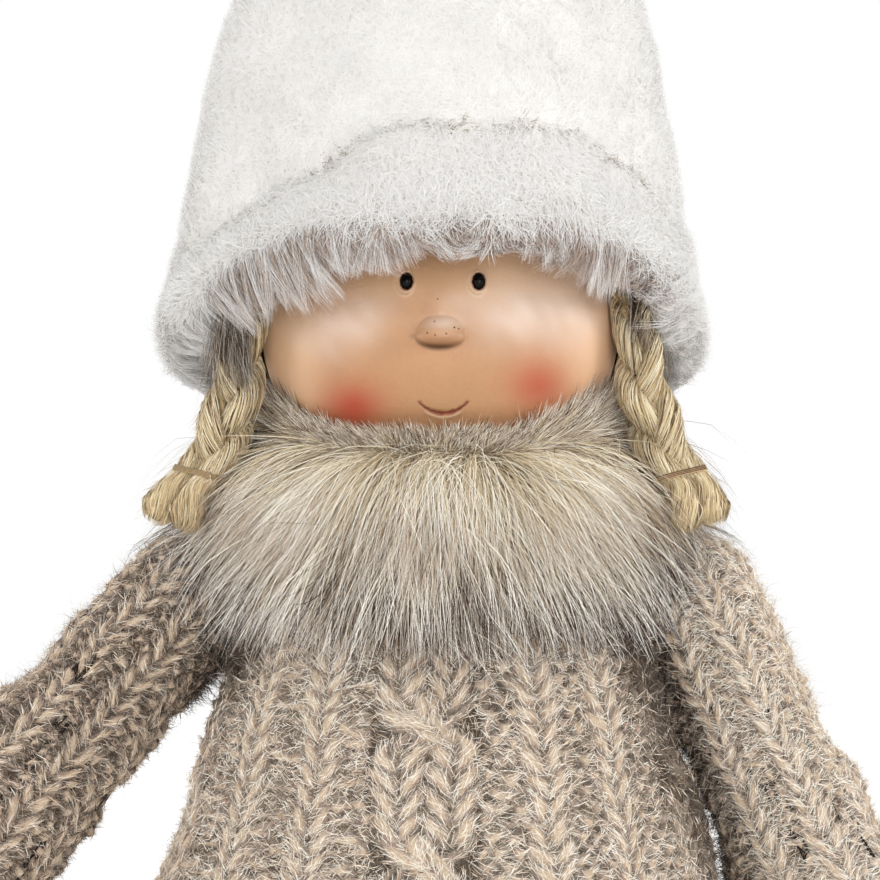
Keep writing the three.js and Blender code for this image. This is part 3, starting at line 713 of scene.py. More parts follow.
def jute_material(name, dark, middle, light):
    shader = Shader(name, 0.85, 0.1, 0.2)
    tone = shader.ramp(shader.corner()[0], (0.0, dark), (0.3, middle), (0.85, light))
    fleck = shader.noise(0.5, 3, 1, stretch=(1, 1, 0.3))
    worn = shader.mix(0.5, tone, shader.ramp(fleck, (0.3, (92, 88, 84)), (0.7, (170, 168, 164))), "OVERLAY")
    shader.colour(worn)
    shader.relief(fleck, 0.15, 0.6)
    return shader.material


CREAM = [
    (0.3, [(0.0, (142, 123, 92)), (0.3, (194, 174, 140)), (0.65, (212, 194, 161)), (1.0, (158, 134, 110))]),
    (0.62, [(0.0, (172, 154, 120)), (0.3, (228, 212, 178)), (0.7, (246, 234, 209)), (1.0, (232, 219, 199))]),
    (1.0, [(0.0, (198, 182, 150)), (0.25, (246, 235, 210)), (0.7, (255, 250, 237)), (1.0, (255, 252, 245))]),
]
DARK_TIPPED = [
    (0.6, [(0.0, (138, 116, 90)), (0.4, (158, 134, 106)), (0.65, (92, 68, 52)), (1.0, (56, 38, 30))]),
    (1.0, [(0.0, (150, 130, 104)), (0.45, (210, 194, 168)), (0.75, (194, 174, 154)), (1.0, (246, 237, 224))]),
]
GUARD = [
    (0.4, [(0.0, (120, 100, 78)), (0.4, (108, 88, 70)), (0.6, (72, 54, 43)), (1.0, (44, 32, 26))]),
    (1.0, [(0.0, (196, 182, 156)), (0.4, (243, 234, 216)), (1.0, (255, 252, 246))]),
]
UNDERCOAT = [
    (0.5, [(0.0, (64, 50, 40)), (1.0, (94, 75, 60))]),
    (1.0, [(0.0, (128, 114, 90)), (1.0, (166, 151, 122))]),
]
PLUSH = [
    (0.5, [(0.0, (240, 238, 235)), (0.4, (247, 246, 244)), (1.0, (251, 250, 249))]),
    (1.0, [(0.0, (244, 242, 239)), (0.4, (250, 249, 247)), (1.0, (253, 252, 251))]),
]
# The undercoat under the fringe: its grey-brown, darkened as painted shade under the cuff
FRINGE_UNDER_AND_SHADE = [
    (0.55, [(0.0, (112, 93, 80)), (1.0, (164, 142, 128))]),
    (1.0, [(0.0, (156, 136, 122)), (1.0, (214, 196, 183))]),
]
# The fringe: brownish strands, as painted shade between the tufts, and white ones
FRINGE = [
    (0.25, [(0.0, (128, 108, 95)), (0.5, (180, 162, 151)), (1.0, (218, 206, 197))]),
    (1.0, [(0.0, (226, 221, 216)), (0.35, (244, 242, 240)), (1.0, (252, 251, 250))]),
]
# Pile inside the flaps: dark strands, partly painted shade under the flaps, and paler ones
LINING = [
    (0.62, [(0.0, (48, 38, 30)), (0.6, (68, 54, 43)), (1.0, (92, 75, 61))]),
    (1.0, [(0.0, (110, 94, 78)), (0.6, (182, 168, 152)), (1.0, (234, 227, 218))]),
]
SEAM_PILE = [
    (0.42, [(0.0, (120, 104, 86)), (0.5, (164, 150, 132)), (1.0, (214, 205, 192))]),
    (1.0, [(0.0, (214, 207, 194)), (0.4, (242, 239, 234)), (1.0, (250, 249, 247))]),
]
MOHAIR = [
    (0.3, [(0.0, (158, 140, 122)), (1.0, (186, 169, 152))]),
    (0.75, [(0.0, (206, 191, 174)), (1.0, (230, 218, 203))]),
    (1.0, [(0.0, (228, 217, 204)), (1.0, (248, 243, 235))]),
]
# Dark wool that stands in for the shade in the crease between a sleeve and the dress: painted shade
FOLD_SHADE = [
    (0.75, [(0.0, (48, 38, 31)), (1.0, (84, 68, 56))]),
    (1.0, [(0.0, (96, 80, 67)), (1.0, (168, 150, 133))]),
]
# Fibres from the painted shade of the gaps, through the yarn's own colour, to the painted light on the crests
YARN_FIBRES = [
    (0.14, [(0.0, (66, 52, 43)), (1.0, (106, 88, 73))]),
    (0.3, [(0.0, (152, 130, 109)), (1.0, (196, 173, 150))]),
    (0.58, [(0.0, (234, 214, 191)), (1.0, (251, 235, 215))]),
    (1.0, [(0.0, (252, 241, 224)), (1.0, (255, 253, 245))]),
]


# Head
def mouth_line(across):
    """Height of the smile above the middle of the head."""
    return MOUTH_RISE - MOUTH_DROP * (1 - (across / MOUTH_HALF) ** 2)


def nose_shape(across, rise):
    """How far the nose stands out: sloping from the brow above, with a round, overhanging lower edge."""
    x = across / NOSE_HALF[0]
    above = np.maximum(0, 1 - x**2 - (np.maximum(rise + 1.0, 0) / (NOSE_HALF[2] * 1.6)) ** 2)
    below = np.maximum(0, 1 - x**2 - (np.minimum(rise + 1.0, 0) / (NOSE_HALF[2] * 0.72)) ** 2)
    dome = np.where(rise > -1.0, above, below) ** (0.5 + 0.4 * smooth((rise + 1.0) / 2.5))
    bridge = 0.26 * bump(across / 4.8) * smooth(1 - np.abs(rise - 4.2) / 8)
    return NOSE_HALF[1] * np.maximum(dome, bridge)


def head_form():
    """An oval with flattened sides: across, depth and rise of its places, closest together over the face."""
    front = np.linspace(-1, 1, 310, endpoint=False)
    angles = TURN / 2 * (0.45 * front + 0.55 * front**3)
    rises = np.concatenate([np.linspace(-0.93, -0.5, 34)[:-1], np.linspace(-0.5, 0.42, 190),
                            np.linspace(0.42, 0.9, 34)[1:]])
    levels = np.sin(rises * TURN / 4)
    round_out = np.cos(rises * TURN / 4)[:, None]
    x = HEAD_HALF[0] * round_out * np.sign(np.sin(angles)) * np.abs(np.sin(angles)) ** 0.93
    y = -HEAD_HALF[1] * round_out * np.sign(np.cos(angles)) * np.abs(np.cos(angles)) ** 0.93
    return x, y, np.repeat(HEAD_HALF[2] * levels[:, None], len(angles), 1)


def with_sockets(out, x, rise, facing):
    """The face with a sunk socket and a raised rim at each eye, and where rims and sockets are painted."""
    rim = np.zeros_like(x)
    socket = np.zeros_like(x)
    for place in EYE_PLACES:
        dx, dz = x - place, rise - EYE_RISE - 0.1
        reach = np.sqrt((dx / 1.5) ** 2 + (dz / 1.95) ** 2)
        lid = np.sqrt(((dx + 0.35) / 2.2) ** 2 + ((dz + 0.4) / 2.7) ** 2)
        low_left = smooth(0.6 - (dx + dz) / 2.5)
        out = out - np.where(facing, 1.6 * smooth((1.02 - reach) / 0.16), 0)
        out = out + np.where(facing, 0.3 * bump((reach - 1.16) / 0.2) + 0.2 * bump((lid - 1) / 0.2) * low_left, 0)
        ring_light = 0.62 * bump((reach - 1.17) / 0.17) + 0.5 * bump((lid - 1) / 0.13) * low_left
        rim = np.maximum(rim, np.where(facing, ring_light, 0))
        socket = np.maximum(socket, np.where(facing, 0.85 * bump((reach - 0.94) / 0.14), 0))
    return out, rim, socket


def mouth_shape(x, rise, places, facing):
    """The cut of the smile, the dents at its corners and the lip below it, each from 0 to 1."""
    across = x - MOUTH_SHIFT
    gap = rise - mouth_line(across)
    within = smooth((MOUTH_HALF + 0.3 - np.abs(across)) / 0.5) * facing
    ragged = 0.07 * ripple(places, 1.3, 5)
    thick = 0.42 + 0.32 * (1 - (np.clip(np.abs(across), 0, MOUTH_HALF) / MOUTH_HALF) ** 2)
    cut = bump((gap + ragged) / thick) * within
    corner = sum(bump(np.hypot(across - s * MOUTH_HALF, (rise - MOUTH_RISE - 0.2) * 1.6) / 0.85)
                 for s in (-1, 1)) * facing
    lip = bump((gap + 1.0) / 0.45) * within * smooth((4.6 - np.abs(across)) / 1.5)
    return cut, corner, lip


def soft_spot(x, rise, place, size, slope=0.0):
    """1 at a place on the face, fading away over the given width and height."""
    up = rise - place[1] - slope * np.abs(x - place[0])
    return np.exp(-(((x - place[0]) / size[0]) ** 2 + (up / size[1]) ** 2))


# Blush, and painted highlights on the cheeks: place, size and strength of each spot
BLUSH_SIZE = (6.5, 5.5)
BLUSH_SPOTS = (((-18.9, -16.2), 0.98), ((21.3, -11.4), 0.8))
HIGHLIGHT_SPOTS = (((-23.5, 0.5), (8.5, 6.5), 0.5), ((-16.5, 4.0), (7.5, 5.0), 0.38), ((24.5, 4.5), (12.5, 8.0), 0.64),
               ((14, 3.5), (7.5, 5.5), 0.34))


def cheek_paint(x, rise, places):
    """The sprayed blush, and painted highlights over the cheeks and the nose."""
    blush = sum(soft_spot(x, rise, place, BLUSH_SIZE) * level for place, level in BLUSH_SPOTS)
    painted_highlight = sum(soft_spot(x, rise, place, size, 0.12) * level for place, size, level in HIGHLIGHT_SPOTS)
    painted_highlight = painted_highlight * (1 + 0.12 * ripple(places, 6, 8))
    # Painted highlights on the top of the nose and just above it
    painted_highlight = painted_highlight + 0.6 * soft_spot(x, rise, (0.8, 2.1), (4.0, 1.6))
    return blush, painted_highlight + 0.25 * soft_spot(x, rise, (3, 6.5), (5, 3))


def face_shade(x, rise):
    """Painted shade about the nose, on the forehead and under the chin, a painted shadow line under the nose, and
    painted light on the sides of the face and under the brim.
    """
    low_edge = NOSE_RISE - 1.0 - NOSE_HALF[2] * 0.72 * np.sqrt(np.maximum(0, 1 - (x / NOSE_HALF[0]) ** 2))
    shadow = 0.04 * smooth((rise - 13) / 8) + 0.75 * bump((rise - low_edge + 0.25) / 0.95) * bump(x / 6.6) ** 0.5
    shadow = shadow + 0.55 * bump((rise - low_edge - 1.2) / 2.0) * bump(x / 6.0) ** 0.5
    shadow = shadow + 0.2 * smooth((-rise - 14) / 12)
    nose_shadow_line = bump((rise - low_edge - 0.1) / 1.1) * bump((x + 0.8) / 6.2) ** 0.5
    # Painted light on the sides of the face, and on the brow under the hat's brim
    sides = smooth((np.abs(x) - 22) / 16) * (0.84 - 0.1 * np.sign(x)) * smooth((20 - rise) / 12)
    brow = (0.5 + 0.16 * np.clip(x / 16, -1, 1)) * smooth((rise - 4) / 6) * smooth((35 - np.abs(x)) / 6)
    brow = brow * (0.62 + 0.38 * smooth((np.abs(x) - 4) / 10))
    return shadow, nose_shadow_line, np.maximum(sides, brow)


def make_head():
    x, y, rise = head_form()
    places = np.stack([x, rise, y], -1)
    facing = y < 0
    nose = np.where(facing, nose_shape(x, rise - NOSE_RISE), 0)
    out, rim, socket = with_sockets(nose, x, rise, facing)
    cut, corner, lip = mouth_shape(x, rise, places, facing)
    out = out + (-0.75 * cut - 0.3 * corner + 0.28 * lip)
    grid = np.stack([x + out * x / 60, y - out, HEAD_HEIGHT + rise], -1)
    blush, painted_highlight = cheek_paint(x, rise, places)
    shadow, nose_shadow_line, edge = face_shade(x, rise)
    # Painted shade, painted highlights and painted light at the edges, beside the blush, the mouth and the rims; dark
    # is the painted shadow line under the nose with the darker cut of the mouth
    front_only = {
        "blush": blush, "painted_highlight": painted_highlight * (1 - blush), "shadow": np.clip(shadow, 0, 1) * (1 - rim),
        "mouth": np.clip(cut + 0.5 * corner + socket, 0, 1), "rim": np.clip(rim + 0.45 * lip, 0, 1),
        "dark": 0.72 * nose_shadow_line + 0.2 * cut, "edge": edge,
    }
    attributes = {k: np.where(facing, v, 0) for k, v in front_only.items()}
    normals = unit(grid_normals(grid) + np.where(facing, 0.55, 0)[..., None] * np.array([0, -1.0, 0.1]))
    head = skin("head", grid, skin_material(), attributes=attributes, normals=normals)
    dress(head, "head", "painted_resin", "head_shell")
    make_eyes()


def make_eyes():
    gloss = eye_material()
    for name, place in (("left", EYE_PLACES[1]), ("right", EYE_PLACES[0])):
        low, high = node_box(f"eye_{name}")
        centre, half = (low + high) / 2, (high - low) / 2 * np.array([1.08, 1.1, 1.0])
        centre[0] = place
        centre[2] -= EYE_DROP
        turns = np.linspace(-0.98, 0.98, 22)[:, None] * TURN / 4
        round_out = np.cos(turns)
        bead = centre + ring(half[2] * np.sin(turns), half[0] * round_out, half[1] * round_out, round_angles(36))
        dress(skin(f"bead_{name}", bead, gloss), "head", "eye_bead", f"eye_{name}")


# Hat
def brim_height(angles):
    return BROW_HEIGHT - NAPE_DROP * smooth((np.abs(wrapped(angles)) - math.radians(25)) / math.radians(90))


def hat_taper(height):
    part = np.clip((height - BROW_HEIGHT) / (HAT_TOP - BROW_HEIGHT), 0, 1)
    return (1 - 0.34 * part * part) * np.sqrt(np.maximum(0, 1 - part**5))


# The cuff's two edges as they show over the face: places across, and the height at each
CUFF_SEAM = (
    (-53, -48.2, -40, -28.2, -18, -6.2, 8.4, 20.4, 30.7, 43.1, 53),
    (298, 301.5, 308, 314.5, 321.5, 324.5, 325.2, 325.6, 323, 314.5, 302.0),
)
CUFF_FRINGE = (
    (-54, -51, -48.4, -44, -41.1, -37.3, -29.8, -25.6, -21.6, -14, -10.2, -4.7, 0, 5.6, 13.1, 18.7, 23.3, 28, 32.7,
     37.3, 41.1, 47, 50, 54),
    (270.5, 273, 277, 280.5, 282.5, 284.7, 286.5, 290.3, 292.5, 293.2, 294.2, 296.6, 297, 298, 296, 297, 295.6, 291,
     289.8, 288.4, 289.5, 290, 280, 269),
)


def edge_height(angles, outline, front, behind):
    """Height that follows an outline over the face, and keeps a distance from the brim behind it."""
    across = (HAT_RIM[0] + 3) * np.sin(angles)
    return front * np.interp(across, *outline) + (1 - front) * (brim_height(angles) + behind)


def seam_height(angles):
    """Height of the seam where the cuff meets the crown: an uneven arch over the brow, level at the back."""
    return edge_height(angles, CUFF_SEAM, smooth((np.cos(angles) + 0.12) / 0.4), 27)


def fringe_low(angles):
    """Height that the longest tips of the pile under the cuff reach."""
    return edge_height(angles, CUFF_FRINGE, smooth((np.cos(angles) - 0.22) / 0.2), -4.5)


def domed_end(edge, rings=8, rise=2.0):
    """Rings that close a ring of points with a low dome."""
    centre, share = edge.mean(0), np.linspace(0.85, 0.02, rings)[:, None, None]
    dome = centre + (edge - centre) * share
    dome[..., 2:] += rise * (1 - share**2)
    return dome


def hat_surface(cols=160, rows=90, shrink=0.0):
    """The crown's rings from the brim to the top."""
    angles = round_angles(cols)
    low = brim_height(angles) + 3
    part = np.sin(np.linspace(0, 0.985, rows) * TURN / 4)[:, None]
    heights = low + (HAT_TOP - 2.5 - shrink - low) * part
    taper = hat_taper(heights)
    aside = smooth((np.abs(np.sin(angles)) - 0.75) / 0.25)
    inset = -1.7 + 3.4 * smooth((heights - 318) / 42) + shrink
    inset = inset - aside * (1.3 - 1.5 * np.sin(angles)) * smooth((334 - heights) / 26)
    inset = inset - aside * (0.5 - 0.7 * np.sin(angles)) * smooth((400 - heights) / 30)
    grid = ring(heights, HAT_RIM[0] * taper - inset, HAT_RIM[1] * taper - inset, angles)
    grid = np.concatenate([grid, domed_end(grid[-1])])
    soft = 0.8 * ripple(grid, 42, 11) + 0.4 * ripple(grid, 17, 12)
    return grid + grid_normals(grid) * (0.8 + soft * 0.8)[..., None]


CUFF_OUTLINE = np.array([(0, 0.05), (0.5, -0.03), (0.92, 0.1), (1, 0.34), (0.78, 0.68), (0.4, 0.95), (0, 1.0)])


def cuff_surface(cols=200, rows=40):
    """The turned-up cuff's outside, from its fold at the brim to its upper edge."""
    angles = round_angles(cols)
    knots = np.linspace(0, 1, len(CUFF_OUTLINE))
    t = np.linspace(0, 1, rows)[:, None]
    out = follow(t, knots, CUFF_OUTLINE[:, 0]) * (CUFF_THICK - 3.0 - 0.7 * np.sin(angles)) + 0.2
    flap = smooth((np.abs(np.sin(angles)) - 0.7) / 0.3) * smooth((np.cos(angles) + 0.6) / 0.5)
    out = out + flap * (3.6 - 0.8 * np.sin(angles)) * smooth(t / 0.25) * smooth((1.15 - t) / 0.45)
    low = brim_height(angles) - (2.5 + 1.1 * np.sin(angles)) * flap
    heights = low + 1.0 + follow(t, knots, CUFF_OUTLINE[:, 1]) * (seam_height(angles) - low - 1.0)
    taper = hat_taper(heights)
    grid = ring(heights, HAT_RIM[0] * taper + out - 1.0, HAT_RIM[1] * taper + out - 1.0, angles)
    return grid + grid_normals(grid) * (0.7 + 0.7 * ripple(grid, 24, 13))[..., None]


def kept_above(paths, lowest):
    """Strands drawn in so that their tips stay above the given heights."""
    roots = paths[:, :1]
    fall = roots[..., 2] - paths[..., 2].min(1, keepdims=True)
    room = np.maximum(roots[..., 2] - lowest[:, None], 0.4)
    share = np.minimum(1, room / np.maximum(fall, 1e-3))[..., None]
    moved = paths - roots
    return roots + moved * np.concatenate([np.repeat(0.45 + 0.55 * share, 2, 2), share], 2)


def backing_material(name):
    """White cloth, greyer with painted shade where its attribute says, in the cuff's fold under the fringe."""
    shader = Shader(name, 0.95, 0.3, 0.2)
    weave = shader.noise(0.8, 3, 1)
    white = shader.ramp(weave, (0.3, (238, 236, 233)), (0.7, (250, 249, 247)))
    grey = shader.ramp(weave, (0.3, (150, 134, 122)), (0.7, (186, 172, 160)))
    shader.colour(shader.mix(shader.attribute("fold"), white, grey))
    shader.relief(weave, 0.3)
    return shader.material


def along_surface(vectors, normals):
    return vectors - normals * (vectors * normals).sum(-1, keepdims=True)


def tangent_sway(points, normals, size, seed):
    """A slowly changing lie of the pile, along the surface."""
    return along_surface(np.stack([ripple(points, size, seed + i) for i in range(3)], -1), normals)


def at_brow(turn):
    """1 over the face, falling to 0 at the side flaps and the back."""
    return smooth((np.cos(turn) - 0.38) / 0.25)


def make_hat():
    rng = np.random.default_rng(21)
    backing = shared_material("plush_backing", backing_material)
    crown, cuff = hat_surface(), cuff_surface()
    dress(skin("hat_backing", with_wall(crown, 2.2), backing, True), "head", "white_plush", "hat_crown")
    back = cuff[::-1][::6] * np.array([0.965, 0.965, 1])
    rings = np.concatenate([cuff, back[1:-1]])
    rows = np.concatenate([np.linspace(0, 1, len(cuff)), np.linspace(1, 0, len(back))[1:-1]])
    # Painted shade in the cuff's fold, over the brow where the fringe hangs
    fold = smooth((0.44 - rows) / 0.12)[:, None] * 0.9 * at_brow(round_angles(cuff.shape[1]))[None]
    dress(skin("cuff_backing", rings, backing, True, {"fold": fold}), "head", "white_plush", "hat_cuff")
    make_crown_pile(rng, crown)
    make_cuff_pile(rng, cuff)
    make_fringe(rng, cuff)
    make_lining(rng)


def plush_pile():
    return shared_material("plush_pile", fibre_material, PLUSH, 0.9, 0.4, 0.15, 0.32)


def plush_fur(name, rng, paths, normals, seam, pieces):
    """Short white pile, and darker pile along the seam."""
    white = plush_pile()
    darker_seam = shared_material("seam_pile", fibre_material, SEAM_PILE, 0.9, 0.3, 0.15, 0.3)
    tones, widths = rng.random(len(paths)), rng.uniform(0.12, 0.2, len(paths))
    fur(f"{name}_pile", paths[~seam], normals[~seam], widths[~seam], tones[~seam], rng, white, "head",
        "white_plush", pieces, twist=0.25, flat=1.0)
    fur(f"{name}_seam_pile", paths[seam], normals[seam], widths[seam], tones[seam], rng, darker_seam, "head",
        "white_plush", flat=0.6)


def make_crown_pile(rng, crown):
    """Pile that lies every way, and is drawn up and to the right beside the seam."""
    roots, normals, _, turn = scatter(crown, CROWN_STRANDS, rng)
    above = roots[:, 2] - seam_height(turn)
    keep = above > -1.5
    roots, normals, above = roots[keep], normals[keep], above[keep]
    count = len(roots)
    sway = tangent_sway(roots, normals, 20, 300)
    near = smooth(1 - above / 9)[:, None]
    upward = UP - normals * normals[:, 2:]
    rightward = along_surface(np.array([1.0, 0, -0.5]) * np.ones((count, 1)), normals)
    lie = unit(along_surface(rng.normal(size=roots.shape), normals) + 0.5 * sway + upward * (0.2 + 0.4 * near)
               + rightward * 0.7 * near)
    start = unit(normals * 0.85 + lie * 0.7)
    finish = unit(normals * rng.uniform(-0.05, 0.3, count)[:, None] + lie)
    seam = above < 0.5 + 1.0 * ripple(roots, 6, 37)
    paths = strand_paths(roots, start, finish, rng.uniform(2.6, 4.4, count) * np.where(seam, 0.62, 1), 4)
    plush_fur("crown", rng, paths, normals, seam, 4)


def make_cuff_pile(rng, cuff):
    """Pile that lies downwards, longer towards the fold."""
    roots, normals, row, turn = scatter(cuff, CUFF_STRANDS, rng)
    keep = row > 0.18 + 0.16 * smooth((np.cos(turn) - 0.4) / 0.3) + 0.07 * ripple(roots, 7, 36)
    roots, normals, row, turn = roots[keep], normals[keep], row[keep], turn[keep]
    count = len(roots)
    down = downhill(normals)
    sway = tangent_sway(roots, normals, 16, 310)
    parted = smooth((row - 0.8) / 0.15)[:, None]
    lie = unit(along_surface(rng.normal(size=roots.shape), normals) + 0.5 * sway + down * (0.9 - 0.5 * parted))
    start = unit(normals * 0.85 + lie * 0.7)
    finish = unit(normals * rng.uniform(-0.05, 0.35, count)[:, None] + lie)
    low = smooth((0.6 - row) / 0.3)
    paths = strand_paths(roots, start, finish, rng.uniform(2.8, 4.6, count) * (1 + 0.6 * low), 4)
    paths = kept_above(paths, fringe_low(turn) + rng.uniform(1, 7, count))
    seam = row > 0.975 + 0.03 * ripple(roots, 9, 38)
    plush_fur("cuff", rng, paths, normals, seam, 3)


def draped(roots, leave, tips, steps):
    """Lines that leave their roots in a direction and curve over to their tips."""
    t = np.linspace(0, 1, steps)[None, :, None]
    via = roots + leave
    return roots[:, None] * (1 - t) ** 2 + 2 * t * (1 - t) * via[:, None] + t * t * tips[:, None]


# The pile under the cuff: number of strands, the part of the cuff they grow on, how far apart their locks are and
# how tightly they are drawn together, how far their tips stop above the fringe's edge, and points a strand
FRINGE_LAYERS = {
    "fringe_undercoat_and_shade": (11000, (0.04, 0.4), 3.0, 0.3, (1.0, 6.5), 5),
    "brow_fringe": (21000, (0.1, 0.52), 4.8, 0.8, (-1.8, 7.5), 6),
}


def make_fringe(rng, cuff):
    """The pile that hangs in tufts from the cuff's fold, over a grey-brown undercoat. Over the brow the undercoat and
    the fringe's brown strands are partly painted shade under the cuff.
    """
    rows = row_places(cuff)
    brow = at_brow(round_angles(cuff.shape[1]))[None]
    under = fibre_material("fringe_undercoat_and_shade", FRINGE_UNDER_AND_SHADE, 0.9, 0.2, 0.15)
    white = fibre_material("fringe_pile", FRINGE, 0.85, 0.3, 0.2, 0.25)
    for name, (count, reach, spacing, pull, lift, steps) in FRINGE_LAYERS.items():
        material = under if name == "fringe_undercoat_and_shade" else white
        weight = np.where((rows > reach[0]) & (rows < reach[1]), 1.0, 1e-7)
        if material is under:
            weight = weight * (0.02 + brow)
        roots, normals, row, turn = scatter(cuff, count, rng, weight)
        lock = lock_leaders(roots, spacing, rng)
        shared = rng.normal(size=(count, 2))[lock]
        tuft = 0.5 + 0.5 * np.clip(1.5 * ripple(roots * np.array([1, 1, 0.2]), 7.5, 34), -1, 1)
        low = fringe_low(turn) + lift[0] + (lift[1] - lift[0]) * (0.45 * tuft + 0.4 * rng.random(count))
        low = low + 1.0 * np.clip(shared[:, 1], -1, 1.5)
        swing = turn + 0.02 + 0.06 * ripple(roots, 13, 35) + 0.06 * shared[:, 0] + 0.025 * rng.normal(size=count)
        out = rng.uniform(0.5, 4.5, count) - 2.0 * (1 - row / reach[1]) * rng.random(count)
        tips = ring(low, HAT_RIM[0] + out, HAT_RIM[1] + out, swing)
        leave = normals * rng.uniform(1.5, 3.5, count)[:, None] + DOWN
        leave = leave + 0.5 * rng.normal(size=roots.shape)
        paths = off_head(clump(draped(roots, leave, tips, steps), spacing, pull, rng, 0.45, lock))
        outward = level_outward(roots)
        # Darker near the fold and over the brow, as painted shade under the cuff, and white away from the brow
        tones = rng.random(count) * 0.8 + 0.3 * row / reach[1] + 0.6 * (1 - at_brow(turn)) + 0.16 * shared[:, 1]
        tones = np.clip(tones, 0.01, 0.99)
        fur(name, paths, outward, rng.uniform(0.09, 0.17, count), tones, rng, material, "head", "white_plush",
            1 if material is under else 2, flat=0.55)


def make_lining(rng):
    """Dark pile inside the side flaps, partly painted shade under them, with paler strands among it: it shows beside
    the cheeks, and in front of the plait at one of them.
    """
    material = fibre_material("lining_pile", LINING, 0.85, 0.0, 0.1)
    count, before = LINING_STRANDS
    angle = np.concatenate([rng.uniform(FLAP_ANGLE, TURN - FLAP_ANGLE, count),
                            rng.uniform(TURN - 1.18, TURN - 1.03, before)])
    inset = np.concatenate([rng.uniform(-5.5, -0.5, count), rng.uniform(-2.5, 3.5, before)])
    count += before
    roots = ring(brim_height(angle) + 3.5 + rng.random(count), HAT_RIM[0] + inset, HAT_RIM[1] + inset, angle)
    outward = unit(ring(0, 1, 1, angle))
    random = rng.normal(size=roots.shape)
    start = unit(DOWN + 0.15 * random)
    finish = unit(DOWN - outward * 0.12 + 0.22 * random)
    beside = bump((np.abs(wrapped(angle)) - FLAP_ANGLE) / 0.5)
    lengths = rng.uniform(8, 15, count) + 13 * beside * rng.random(count)
    lengths[-before:] += 6
    paths = clump(strand_paths(roots, start, finish, lengths, 5), 3.0, 0.45, rng)
    short = np.maximum(0, rng.uniform(40.2, 42.5, count)[:, None] - np.abs(paths[..., 0])) * (paths[..., 1] < 4)
    paths[..., 0] += np.sign(roots[:, :1]) * short.max(1, keepdims=True)
    paths = off_head(paths, 0.6)
    fur("lining_pile", paths, outward, rng.uniform(0.09, 0.18, count), rng.random(count), rng, material,
        "head", "white_plush")


# Collar
COLLAR_PROFILE = np.array([(0.1, 0), (0, 0.12), (0.02, 0.4), (0.3, 0.75), (1, 1.0)])


def collar_surface(cols=180, rows=60):
    angles = round_angles(cols)
    side = np.sin(angles) ** 2
    low = COLLAR_LOW + (COLLAR_SIDE_LOW - COLLAR_LOW) * side
    high = COLLAR_HIGH - 1.0 + CHEEK_LIFT * side**2
    knots = np.linspace(0, 1, len(COLLAR_PROFILE))
    t = np.linspace(0, 1, rows)
    inward = follow(t, knots, COLLAR_PROFILE[:, 0])[:, None]
    up = follow(t, knots, COLLAR_PROFILE[:, 1])[:, None]
    bulge, top = COLLAR_BULGE - 6.0, COLLAR_TOP - 1.8
    width = bulge[0] + (top[0] - bulge[0]) * inward
    depth = bulge[1] + (top[1] - bulge[1]) * inward
    heights = low + (high - low) * up
    return off_head(ring(heights, width, depth, angles), 1.3)


def coat_edge(points):
    """Height at which the long pile ends: low at the front and the back, higher at the shoulders."""
    aside = smooth((np.abs(points[:, 0]) - 26) / 24)
    return 213 + 12 * aside + 3.0 * ripple(points, 15, 46) + 2.0 * ripple(points, 6, 47)


def hide_material(name):
    shader = Shader(name, 0.95, 0.2, 0.2)
    weave = shader.noise(1.0, 3, 1)
    shader.colour(shader.ramp(weave, (0.3, (140, 126, 102)), (0.7, (172, 158, 132))))
    shader.relief(weave, 0.3)
    return shader.material


# The layers of the long pile, from the skin outwards. Each has its number of strands, their lengths and widths,
# how far they lift off the skin, the part of the skin they grow on, how far their ends stop above the edge of the
# coat, and how many pieces and points a strand they are made in.
COLLAR_LAYERS = {
    "undercoat": (15000, (12, 20), (0.12, 0.22), 0.35, (0.0, 0.9), (-3, 8), 1, 5),
    "tipped": (21000, (24, 42), (0.1, 0.2), 0.5, (0.0, 0.88), (-8, 9), 2, 6),
    "coat": (38000, (20, 40), (0.11, 0.22), 0.64, (0.12, 0.92), (7, 33), 3, 6),
    "guard": (7500, (26, 46), (0.16, 0.28), 0.66, (0.0, 0.7), (-6, 12), 1, 6),
}
LOCK_SPACING = 3.4


def make_collar():
    rng = np.random.default_rng(41)
    surface = collar_surface()
    inner = surface[::-1][::8] * np.array([0.95, 0.95, 1])
    backing = skin("collar_backing", np.concatenate([surface, inner[1:-1]]), hide_material("collar_hide"), True)
    dress(backing, "torso", "collar_pile", "fur_collar")
    materials = {
        "coat": fibre_material("collar_coat", CREAM, 0.68, 0.05, 0.22),
        "tipped": fibre_material("collar_tipped", DARK_TIPPED, 0.75, 0.0, 0.12),
        "undercoat": fibre_material("collar_undercoat", UNDERCOAT, 0.85, 0.0, 0.1),
        "guard": fibre_material("collar_guard", GUARD, 0.65, 0.0, 0.18),
    }
    for layer, settings in COLLAR_LAYERS.items():
        make_collar_layer(rng, surface, layer, materials[layer], *settings)
    make_collar_edge(rng, surface, materials["tipped"], materials["coat"])


